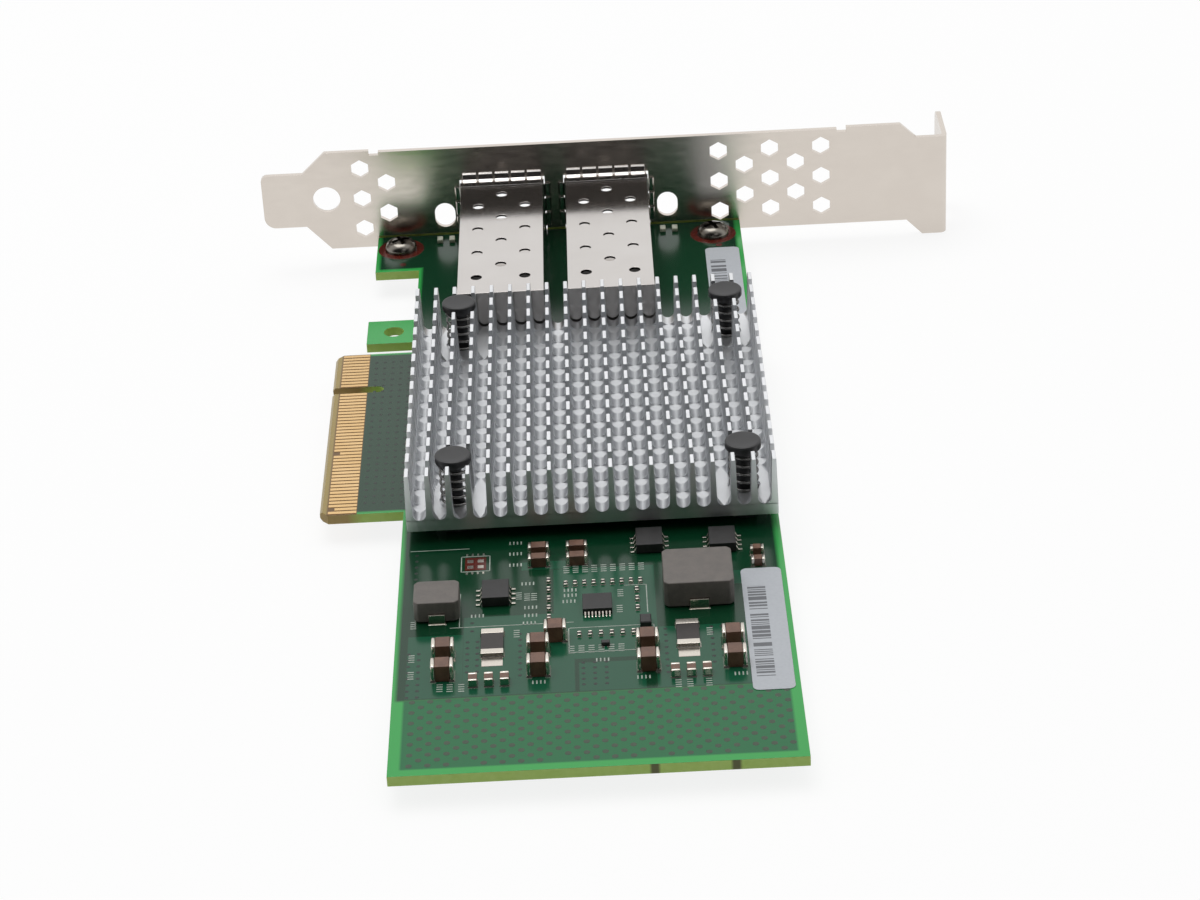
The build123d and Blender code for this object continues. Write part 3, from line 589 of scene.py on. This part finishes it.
# %% Board with its retention hole
def carved(obj, cutter):
    """Cuts one object out of another. The cutter is used up."""
    cut = obj.modifiers.new("cut", "BOOLEAN")
    cut.operation = "DIFFERENCE"
    cut.solver = "EXACT"
    cut.object = cutter
    plain_mesh(obj, obj.name)
    bpy.data.objects.remove(cutter)


def drilled(obj, places, radius, low, high):
    """Drills round holes into an object at (x, y) places, from one height to another."""
    for x, y in places:
        drill = placed("drill", turned("drill", [(radius, high), (radius, low)], 40))
        drill.data.transform(Matrix.Translation((x * MM, y * MM, 0)))
        carved(obj, drill)


retention_hole, retention_radius = (9.2, 19.75), 1.65
board = placed("circuit_board_soft", welded("circuit_board"), board_lacquer)
drilled(board, [retention_hole], retention_radius, -3.0, 3.0)
tied(bevelled(board, 0.06), slot_of["circuit_board"], "circuit_board")
print("board faces:", len(board.data.polygons))

# %% [markdown]
# ## Trees that repeat
# A small tree puts one shape on many places, and it is used for dots, screws and push pins. Each
# tree has named inputs, and ends by making the copies real and giving them their material. A
# modifier's inputs are set by identifier before anything is evaluated.

# %% Helpers for Geometry Nodes
def tree_with(name, inputs):
    """A new geometry tree with named inputs: returns the tree and what it is given."""
    tree = bpy.data.node_groups.new(name, "GeometryNodeTree")
    tree.interface.new_socket("Geometry", in_out="INPUT", socket_type="NodeSocketGeometry")
    for label, kind in inputs.items():
        tree.interface.new_socket(label, in_out="INPUT", socket_type="NodeSocket" + kind)
    tree.interface.new_socket("Geometry", in_out="OUTPUT", socket_type="NodeSocketGeometry")
    return tree, add(tree, "NodeGroupInput").outputs


def finish_tree(tree, given, geometry):
    """Ends a tree: real copies, one material."""
    real = add(tree, "GeometryNodeRealizeInstances", {"Geometry": geometry})
    done = add(tree, "GeometryNodeSetMaterial", {"Geometry": real, "Material": given["Material"]})
    add(tree, "NodeGroupOutput", {"Geometry": done})


def grown(name, tree, mesh, values):
    """Runs a tree on a mesh with these named values and keeps the result as a plain mesh."""
    obj = placed(name, mesh)
    modifier = obj.modifiers.new("growth", "NODES")
    modifier.node_group = tree
    for item in tree.interface.items_tree:
        if item.item_type == "SOCKET" and item.in_out == "INPUT" and item.name in values:
            modifier[item.identifier] = values[item.name]
    return plain_mesh(obj, name)


def points_mesh(name, places):
    """A mesh of loose points, places given in millimetres."""
    mesh = bpy.data.meshes.new(name)
    mesh.from_pydata([Vector(p) * MM for p in places], [], [])
    return mesh


copies_tree, given = tree_with("copies_on_points", {"Part": "Object", "Material": "Material"})
part = add(copies_tree, "GeometryNodeObjectInfo", {"Object": given["Part"]})
copies = add(
    copies_tree, "GeometryNodeInstanceOnPoints",
    {"Points": given["Geometry"], "Instance": part.outputs["Geometry"]},
)
finish_tree(copies_tree, given, copies)


def copies_of(name, part_mesh, places, material, slot, *stands_for):
    """One shape copied to every place, as one piece."""
    part = placed(name + "_one", part_mesh)
    obj = grown(name, copies_tree, points_mesh(name, places), {"Part": part, "Material": material})
    bpy.data.objects.remove(part)
    return settled(obj, slot, 30, *stands_for)


print("trees:", [t.name for t in bpy.data.node_groups])

# %% [markdown]
# ## Heatsink
# The real one is an aluminium comb, extruded with round-bottomed channels and then sawn across down
# to the channels' floor, so rows of pins stand on a flat slab. Light falls on the sawn strips evenly
# and runs in a bright line along the rounds between them. So the pin is drawn with the round at
# its root, and a tree copies it over a grid and leaves out the pins where a push pin stands.

# %% Heatsink slab
sink_low, sink_high = box_mm("heatsink")
fin_count, row_count = 19, 14
fin_thickness, pin_length = 1.0, 2.5
fin_pitch = (sink_high.x - sink_low.x - fin_thickness) / (fin_count - 1)
row_pitch = (sink_high.y - sink_low.y - pin_length) / (row_count - 1)
channel_radius = (fin_pitch - fin_thickness) / 2
channel_floor = sink_low.z + 1.85
sink_middle = (sink_low + sink_high) / 2
push_places = [(21.0, -42.7), (64.0, -42.7), (21.0, 6.8), (64.0, 6.8)]
print("fin pitch", round(fin_pitch, 3), "mm, row pitch", round(row_pitch, 3), "mm")


def on_channel(centre, angle):
    """A point of a channel's wall, by its angle below the level of the channel's centre."""
    across = centre + channel_radius * math.cos(angle)
    return across, channel_floor + channel_radius * (1 - math.sin(angle))


def swept(name, profile, y_low, y_high):
    """An (x, z) profile swept from one y to another, in millimetres."""
    return lofted(name, [[(x, y, z) for x, z in profile] for y in (y_low, y_high)])


seat_radius, seat_depth, shaft_hole_radius = 2.45, 0.4, 1.45
slab = [
    (sink_low.x, sink_low.z), (sink_low.x, channel_floor),
    (sink_high.x, channel_floor), (sink_high.x, sink_low.z),
]
slab_mesh = swept("heatsink_base", slab, sink_low.y, sink_high.y)
sink_base = placed("heatsink_base", slab_mesh, sink_aluminium)
drilled(sink_base, push_places, seat_radius, channel_floor - seat_depth, channel_floor + 1)
drilled(sink_base, push_places, shaft_hole_radius, sink_low.z - 1, channel_floor)
settled(sink_base, slot_of["heatsink"], 30, "heatsink")
print("slab faces:", len(sink_base.data.polygons))

# %% Tree that stands pins on a grid
pins_tree, given = tree_with(
    "pins_on_a_grid",
    {
        "Columns": "Int", "Rows": "Int", "Length X": "Float", "Length Y": "Float", "Centre": "Vector",
        "Seat Reach": "Float", "Seats": "Object", "Material": "Material",
    },
)
grid = add(
    pins_tree, "GeometryNodeMeshGrid",
    {
        "Size X": given["Length X"], "Size Y": given["Length Y"],
        "Vertices X": given["Columns"], "Vertices Y": given["Rows"],
    },
)
moved = add(pins_tree, "GeometryNodeTransform", {"Geometry": grid, "Translation": given["Centre"]})
seats = add(pins_tree, "GeometryNodeObjectInfo", {"Object": given["Seats"]})
near_seat = add(
    pins_tree, "GeometryNodeProximity", {"Geometry": seats.outputs["Geometry"]}, target_element="POINTS"
)
too_near = add(
    pins_tree, "FunctionNodeCompare",
    {0: near_seat.outputs["Distance"], 1: given["Seat Reach"]},
    data_type="FLOAT", operation="LESS_THAN",
)
kept = add(
    pins_tree, "GeometryNodeDeleteGeometry", {"Geometry": moved, "Selection": too_near}, domain="POINT"
)
pins = add(pins_tree, "GeometryNodeInstanceOnPoints", {"Points": kept, "Instance": given["Geometry"]})
finish_tree(pins_tree, given, pins)
print("pins tree has", len(pins_tree.nodes), "nodes")

# %% Heatsink pins
round_steps, seat_reach, trim_reach = 6, 3.5, 5.4
right = [
    on_channel(fin_thickness / 2 + channel_radius * 0.99, math.pi * (0.5 + 0.5 * step / round_steps))
    for step in range(round_steps + 1)
]
right = [(right[0][0], channel_floor - 0.1)] + right + [(0.33, sink_high.z - 0.15), (0.25, sink_high.z)]
pin_profile = right + [(-x, z) for x, z in reversed(right)]
pin_mesh = swept("heatsink_pin", pin_profile, -pin_length / 2, pin_length / 2)
seat_points = placed("seat_points", points_mesh("seat_points", [(x, y, 0) for x, y in push_places]))
heatsink_pins = grown(
    "heatsink_pins", pins_tree, pin_mesh,
    {
        "Columns": fin_count, "Rows": row_count,
        "Length X": (fin_count - 1) * fin_pitch * MM, "Length Y": (row_count - 1) * row_pitch * MM,
        "Centre": (sink_middle.x * MM, sink_middle.y * MM, 0.0),
        "Seat Reach": seat_reach * MM, "Seats": seat_points, "Material": sink_aluminium,
    },
)
bpy.data.objects.remove(seat_points)
print("heatsink pins:", len(heatsink_pins.data.polygons) // (len(pin_profile) + 2))

# %% Outer pins and the pins round the seats
# The outermost pins end flush with the slab's side, and the seats' cutter trims the rounds near it.
first_fin = sink_low.x + fin_thickness / 2
for vertex in heatsink_pins.data.vertices:
    x, y, z = vertex.co / MM
    fin_x = first_fin + fin_pitch * round((x - first_fin) / fin_pitch)
    if min(math.hypot(x - seat_x, y - seat_y) for seat_x, seat_y in push_places) < trim_reach:
        x = min(max(x, fin_x - fin_thickness / 2), fin_x + fin_thickness / 2)
    vertex.co.x = min(max(x, sink_low.x), sink_high.x) * MM
settled(heatsink_pins, slot_of["heatsink"], 30, "heatsink")
print("pins lie between", round(sink_low.x, 2), "and", round(sink_high.x, 2), "mm")

# %% [markdown]
# ## Spring collars
# Each cage wears a thin band whose fingers close the gap to the bracket. A finger lies flat on the
# cage, climbs a short slope, stands up and turns over against the bracket. The slope and the turned
# lip see the bright ceiling and the upright part sees the dark room, so each finger shows as pale
# bars with a dark square between them. One profile, swept and turned, makes all eleven.

# %% Collars with curled fingers
finger_profile = [
    (-1.1, 0.2), (-0.95, 0.2), (-0.42, 0.57), (-0.42, 1.45), (-0.02, 1.75),
    (-0.02, 1.6), (-0.22, 1.38), (-0.22, 0.45), (-0.9, 0.0), (-1.1, 0.0),
]
finger_width, finger_pitch = 2.4, 2.82


def curled_collar(node):
    """A band with curled fingers on three sides, in the place of a collar's solid."""
    low, high = box_mm(node)
    cage = node.replace("spring_collar", "port_cage")
    cage_low, cage_high = box_mm(cage)
    left, right, top = cage_low.x, cage_high.x, cage_high.z
    band = [
        (left - 0.2, 0.02), (left - 0.2, top + 0.2), (right + 0.2, top + 0.2), (right + 0.2, 0.02),
        (right, 0.02), (right, top), (left, top), (left, 0.02),
    ]
    whole = bmesh.new()
    whole.from_mesh(swept("band", band, low.y, high.y - 0.9))
    middle = (left + right) / 2
    places = []
    for i in range(5):
        shift = (middle + finger_pitch * (i - 2), high.y, top)
        places.append(((0, -1, 0), (1, 0, 0), (0, 0, 1), shift))
    for i in range(3):
        level = top / 2 + finger_pitch * (i - 1)
        places.append(((0, 0, 0.75), (1, 0, 0), (0, 1, 0), (right, high.y, level)))
        places.append(((0, 0, -0.75), (1, 0, 0), (0, 1, 0), (left, high.y, level)))
    for *rows, shift in places:
        finger = swept("finger", finger_profile, -finger_width / 2, finger_width / 2)
        finger.transform(Matrix.Translation(Vector(shift) * MM) @ Matrix(rows).to_4x4())
        whole.from_mesh(finger)
    bmesh.ops.recalc_face_normals(whole, faces=whole.faces)
    mesh = mesh_of(whole, node + "_curled")
    return tied(bevelled(placed(mesh.name, mesh, cage_steel), 0.04), slot_of[node], node)


for node in ("left_spring_collar", "right_spring_collar"):
    collar = curled_collar(node)
    print(node, "has", len(collar.data.polygons), "faces")

# %% [markdown]
# ## Push pins and their springs
# A push pin is a moulded stem with a flat, slightly dished head. Its spring pushes the head up and
# the heatsink down. The stem is turned from a profile. The spring's wire follows a spiral curve,
# which a tree swells to a round wire.

# %% Push pins turned from a profile
pin_low, pin_high = box_mm("push_pins")
head_top, head_radius = pin_high.z, 2.7
dish = [
    (0.0, head_top - 0.16), (0.9, head_top - 0.15), (1.7, head_top - 0.09), (2.2, head_top - 0.02),
    (2.42, head_top), (2.60, head_top - 0.06), (head_radius, head_top - 0.22),
]
stem = [
    (head_radius, head_top - 1.05), (2.62, head_top - 1.2), (2.35, head_top - 1.28),
    (2.3, head_top - 1.5), (1.2, head_top - 1.5), (1.2, -1.6), (1.75, -1.62), (1.72, -1.9),
    (0.7, pin_low.z + 0.15), (0.5, pin_low.z), (0.0, pin_low.z),
]
push_pin = turned("push_pin", dish + stem, 40)
pin_places = [(x, y, 0) for x, y in push_places]
copies_of("push_pins_turned", push_pin, pin_places, black_nylon, slot_of["push_pins"], "push_pins")
print("push pins reach", round(pin_low.z, 2), "to", round(pin_high.z, 2), "mm")

# %% Blocks
def block(low, high, chamfer=0.0, taper=0.0):
    """A block in millimetres, its top edges chamfered and its sides drawn in towards the top."""
    levels = [(low[2], 0.0), (high[2] - chamfer, taper), (high[2], taper + chamfer)]
    if chamfer == 0:
        levels.pop(1)
    rings = []
    for z, inset in levels:
        x_low, y_low, x_high, y_high = low[0] + inset, low[1] + inset, high[0] - inset, high[1] - inset
        rings.append([(x_low, y_low, z), (x_high, y_low, z), (x_high, y_high, z), (x_low, y_high, z)])
    return lofted("block", rings)


def gathered(name, meshes):
    """One mesh from many, which are used up."""
    whole = bmesh.new()
    for mesh in meshes:
        whole.from_mesh(mesh)
        bpy.data.meshes.remove(mesh)
    return mesh_of(whole, name)


print("blocks ready")

# %% Bracket screws with a cross recess
screw_low, screw_head = (corner.z for corner in box_mm("bracket_screws"))
pan_head = [
    (0.0, screw_head), (1.0, screw_head - 0.03), (1.7, screw_head - 0.2), (2.25, screw_head - 0.5),
    (2.6, screw_head - 0.95), (2.75, screw_head - 1.45), (2.75, 0.0),
]
shank = [(1.45, 0.0), (1.45, screw_low + 0.3), (1.2, screw_low), (0.0, screw_low)]
screw = placed("screw", turned("screw", pan_head + shank, 40))
for x, y in ((1.65, 0.375), (0.375, 1.65)):
    carved(screw, placed("recess", block((-x, -y, screw_head - 1.0), (x, y, screw_head + 0.5))))
screw.data.transform(Matrix.Rotation(math.radians(25), 4, "Z"))
screw_places = [(9.4, 50.89, 0.0), (64.0, 50.89, 0.0)]
copies_of(
    "cross_screws", screw.data, screw_places, screw_steel, slot_of["bracket_screws"], "bracket_screws"
)
bpy.data.objects.remove(screw)
print("screw head stands", round(screw_head, 2), "mm above the board")

# %% Tree that winds springs
springs_tree, given = tree_with(
    "springs",
    {"Turns": "Float", "Coil Radius": "Float", "Height": "Float", "Wire": "Float", "Material": "Material"},
)
spiral = add(
    springs_tree, "GeometryNodeCurveSpiral",
    {
        "Resolution": 28, "Rotations": given["Turns"], "Height": given["Height"],
        "Start Radius": given["Coil Radius"], "End Radius": given["Coil Radius"],
    },
)
ring = add(springs_tree, "GeometryNodeCurvePrimitiveCircle", {"Resolution": 10, "Radius": given["Wire"]})
wire = add(
    springs_tree, "GeometryNodeCurveToMesh",
    {"Curve": spiral, "Profile Curve": ring.outputs["Curve"], "Fill Caps": True},
)
springs = add(springs_tree, "GeometryNodeInstanceOnPoints", {"Points": given["Geometry"], "Instance": wire})
finish_tree(springs_tree, given, springs)
print("springs tree has", len(springs_tree.nodes), "nodes")

# %% Springs of round wire
spring_low, spring_high = box_mm("push_pin_springs")
wire_radius = 0.21
coil_radius = (spring_high.x - push_places[-1][0]) - wire_radius
spring_places = [(x, y, spring_low.z + wire_radius) for x, y in push_places]
springs_obj = grown(
    "wire_springs", springs_tree, points_mesh("wire_springs", spring_places),
    {
        "Turns": 4.6, "Coil Radius": coil_radius * MM, "Wire": wire_radius * MM,
        "Height": (spring_high.z - spring_low.z - 2 * wire_radius) * MM, "Material": spring_steel,
    },
)
settled(springs_obj, slot_of["push_pin_springs"], 40, "push_pin_springs")
print("springs:", len(springs_obj.data.polygons), "faces, coil radius", round(coil_radius, 2), "mm")

# %% [markdown]
# ## Small things on the board
# The lacquer has dots over its filled holes, rings of copper round the screws, bare pads with
# tin on them, and thin white lines that mark where parts sit. They are all a few hundredths of a
# millimetre high, but that is enough to catch light, so each is a real shape. Rows of dots come
# from tables of places, put down by the same copying tree.

# %% Vias in rows
def rows_of(x_low, x_high, x_count, y_low, y_high, y_count):
    """Places on a regular grid, ends included, in millimetres."""
    xs = [x_low + (x_high - x_low) * i / max(1, x_count - 1) for i in range(x_count)]
    ys = [y_low + (y_high - y_low) * i / max(1, y_count - 1) for i in range(y_count)]
    return [(x, y, 0.0) for x in xs for y in ys]


def dots(name, places, top_radius, foot_radius, height, sides, material):
    """Flat round dots on the board, as one piece."""
    profile = [(0.0, height), (top_radius, height), (foot_radius, -0.01), (0.0, -0.01)]
    copies_of(name, turned(name + "_shape", profile, sides), places, material, "board")


via_places = []
for row in (
    (14.8, 16.2, 2, -89.2, -78.4, 8), (23.0, 24.4, 2, -83.6, -76.0, 6), (30.4, 31.8, 2, -85.0, -74.5, 8),
    (39.2, 42.4, 3, -88.0, -82.6, 5), (49.6, 50.9, 2, -86.0, -75.0, 8), (57.4, 58.8, 2, -84.0, -75.0, 7),
    (23.6, 23.6, 1, -73.2, -69.0, 3), (15.2, 15.2, 1, -62.0, -52.0, 7), (6.8, 12.2, 5, -36.0, 9.0, 24),
):
    via_places += rows_of(*row)
dots("via_dots", via_places, 0.27, 0.30, 0.012, 10, via_lacquer)
print("vias:", len(via_places))

# %% Dotted field at the end
field_places = []
for row in range(13):
    for column in range(23):
        x = 15.6 + 2.5 * column + (1.25 if row % 2 else 0.0)
        y = -105.4 + 1.25 * row
        if x < 67.0 and not (row == 0 and column % 5 == 3):
            field_places.append((x, y, 0.0))
field_copper = body("copper_under_thin_lacquer", "#304632", "#3a4e38", 0.17, 0.30, 0.002)
dots("dotted_field", field_places, 0.42, 0.47, 0.02, 12, field_copper)
print("copper dots in the field:", len(field_places))

# %% Copper rings, marks and bare pads
def plates(name, boxes, height, material, slot, chamfer=0.0):
    """Thin plates on the board from (x low, x high, y low, y high) in millimetres, as one piece."""
    meshes = [
        block((x_low, y_low, -0.01), (x_high, y_high, height), chamfer)
        for x_low, x_high, y_low, y_high in boxes
    ]
    return settled(placed(name, gathered(name, meshes), material), slot)


dots("screw_rings", screw_places, 3.95, 4.0, 0.03, 48, lacquered_copper)
dots("copper_marks", [(9.9, 44.7, 0), (64.8, 46.3, 0)], 0.55, 0.58, 0.03, 20, lacquered_copper)
plates("bare_footprint", [(22.3, 25.4, -56.9, -53.4)], 0.02, lacquered_copper, "board")
pads = [(x - 0.45, x + 0.45, y - 0.4, y + 0.4) for x in (23.1, 24.6) for y in (-56.0, -54.4)]
for x in (22.6, 23.4, 24.2, 25.0):
    pads += [(x - 0.15, x + 0.15, y - 0.3, y + 0.3) for y in (-57.7, -52.6)]
pads += [(x - 1.5, x + 1.5, -82.4, -80.2) for x in (26.5, 54.0)]
plates("bare_tinned_pads", pads, 0.05, tinned, "tinned_metal", 0.03)
print("rings, marks and", len(pads), "pads placed")

# %% Small diode and transistor
plates("small_diode_body", [(47.4, 49.0, -74.5, -72.3)], 1.0, package_black, "package_black", 0.12)
plates("small_transistor_body", [(41.8, 43.0, -78.7, -77.9)], 0.6, package_black, "package_black", 0.08)
small_leads = [(48.0, 48.4, -74.9, -74.4), (48.0, 48.4, -72.4, -71.9)]
for x, y in ((42.0, -79.0), (42.8, -79.0), (42.4, -77.6)):
    small_leads.append((x - 0.15, x + 0.15, y - 0.2, y + 0.2))
plates("small_leads", small_leads, 0.12, tinned, "tinned_metal", 0.03)
print("small parts placed")

# %% [markdown]
# ## Solder
# Solder creeps out and up from under each end cap and lead. A low skirt with drawn-in sides round
# the foot of each gives the bright rim that a soldered part has. Each solid in a node is found as
# an island of its mesh, and its box says where its skirt goes.

# %% Solder skirts
def islands(node):
    """The boxes of the separate solids in a node, in millimetres."""
    bm = bmesh.new()
    bm.from_mesh(nodes[node].data)
    bmesh.ops.remove_doubles(bm, verts=bm.verts, dist=0.001 * MM)
    left = set(bm.verts)
    boxes = []
    while left:
        reach = [left.pop()]
        found = []
        while reach:
            vert = reach.pop()
            found.append(vert.co.copy())
            for edge in vert.link_edges:
                other = edge.other_vert(vert)
                if other in left:
                    left.remove(other)
                    reach.append(other)
        low = [min(c[k] for c in found) / MM for k in range(3)]
        high = [max(c[k] for c in found) / MM for k in range(3)]
        boxes.append((low, high))
    bm.free()
    return boxes


skirts = []
for node, spread, height in (
    ("power_capacitor_ends", 0.14, 0.30), ("signal_capacitor_ends", 0.12, 0.22),
    ("filter_capacitor_ends", 0.10, 0.20), ("sense_resistor_ends", 0.16, 0.20),
    ("chip_resistor_ends", 0.10, 0.12), ("large_choke_terminals", 0.2, 0.10),
    ("small_choke_terminals", 0.2, 0.10),
):
    for low, high in islands(node):
        foot = (low[0] - spread, low[1] - spread, -0.01)
        top = (high[0] + spread, high[1] + spread, height)
        skirts.append(block(foot, top, 0.0, spread + 0.02))
settled(placed("solder_skirts", gathered("solder_skirts", skirts), tinned), "tinned_metal")
print("solder skirts:", len(skirts))

# %% Legend lines
def outline(x_low, x_high, y_low, y_high, width=0.14):
    """Four thin strips round a rectangle."""
    return [
        (x_low, x_high, y_low, y_low + width), (x_low, x_high, y_high - width, y_high),
        (x_low, x_low + width, y_low, y_high), (x_high - width, x_high, y_low, y_high),
    ]


lines = outline(37.2, 49.4, -80.0, -73.6)
lines += [(20.4, 38.0, -72.2, -72.06), (45.4, 48.6, -63.1, -62.96), (48.5, 48.64, -70.5, -63.0)]
lines += [(14.2, 22.9, -50.9, -50.76)] + outline(21.7, 26.0, -57.3, -53.0)
lines += [(15.4, 15.54, -72.0, -63.2), (21.7, 21.84, -72.0, -63.2)]
plates("legend_lines", lines, 0.02, legend_ink, "board")
print("legend lines:", len(lines))

# %% [markdown]
# The real legend also has a short word beside each part. From where the card is seen, a word is no
# more than a pale grey patch, so four plain strokes stand for each, and they say nothing.

# %% Strokes in place of words
def strokes(places, along_card):
    """Four short strokes at each place, one after another along or across the card."""
    boxes = []
    for x, y in places:
        for i in range(4):
            shift = 0.55 * (i - 1.5)
            if along_card:
                boxes.append((x - 0.42, x + 0.42, y + shift - 0.1, y + shift + 0.1))
            else:
                boxes.append((x + shift - 0.1, x + shift + 0.1, y - 0.42, y + 0.42))
    return boxes


across_card = [
    (60.9, -87.2), (47.5, -86.9), (33.0, -86.9), (41.9, -82.1), (37.6, -63.6), (37.6, -65.0),
    (37.4, -66.6), (31.5, -61.3), (31.9, -67.7), (31.9, -69.8), (31.7, -71.8), (24.3, -69.3),
    (29.7, -49.9), (29.7, -52.9), (29.7, -56.0),
]
down_card = [
    (52.2, -88.9), (53.8, -88.9), (56.4, -88.9), (57.1, -76.2), (19.3, -87.2), (20.7, -87.3),
    (22.3, -87.4), (15.2, -79.6), (15.2, -83.8), (15.2, -71.0), (29.9, -74.4), (30.2, -64.5),
    (31.4, -64.9), (32.4, -64.9), (44.8, -65.0), (44.6, -69.2),
]
down_card += [(37.6 + 1.4 * i, -79.2) for i in range(6)] + [(37.1 + 1.36 * i, -58.0) for i in range(9)]
plates("legend_strokes", strokes(across_card, False) + strokes(down_card, True), 0.02, legend_ink, "board")
print("strokes for", len(across_card) + len(down_card), "words")

# %% [markdown]
# ## Labels
# A label is punched with round corners. Each of the two is drawn anew in its solid's place, from
# four quarter circles joined in one ring.

# %% Labels with round corners
def rounded_sheet(node, radius):
    """A sheet with round corners in the box of a node, standing for it."""
    low, high = box_mm(node)
    left, right, near, far = low.x + radius, high.x - radius, low.y + radius, high.y - radius
    ring = []
    for corner, (x, y) in enumerate(((right, far), (left, far), (left, near), (right, near))):
        for step in range(7):
            angle = math.radians(90 * corner + 15 * step)
            ring.append((x + radius * math.cos(angle), y + radius * math.sin(angle)))
    mesh = lofted(node + "_sheet", [[(x, y, z) for x, y in ring] for z in (low.z, high.z)])
    return tied(bevelled(placed(mesh.name, mesh, label_paper), 0.02), slot_of[node], node)


for node in ("rear_label", "bracket_side_label"):
    rounded_sheet(node, 0.9)
print("labels drawn")

# %% [markdown]
# ## Finishes for the nodes that stay
# The rest of the CAD nodes are right as they are and only need their finish: the contacts, and the
# chip and the pad under the heatsink.

# %% Materials on the remaining CAD nodes
carried_over = {
    "edge_contacts_component_side": gold, "edge_contacts_solder_side": gold,
    "controller_chip": chip_laminate, "thermal_pad": grey_silicone,
}
for node, material in carried_over.items():
    if not nodes[node].material_slots:
        nodes[node].data.materials.append(material)
    for mesh_slot in nodes[node].material_slots:
        mesh_slot.material = material
print("carried over:", len(carried_over), "of", len(nodes), "nodes")
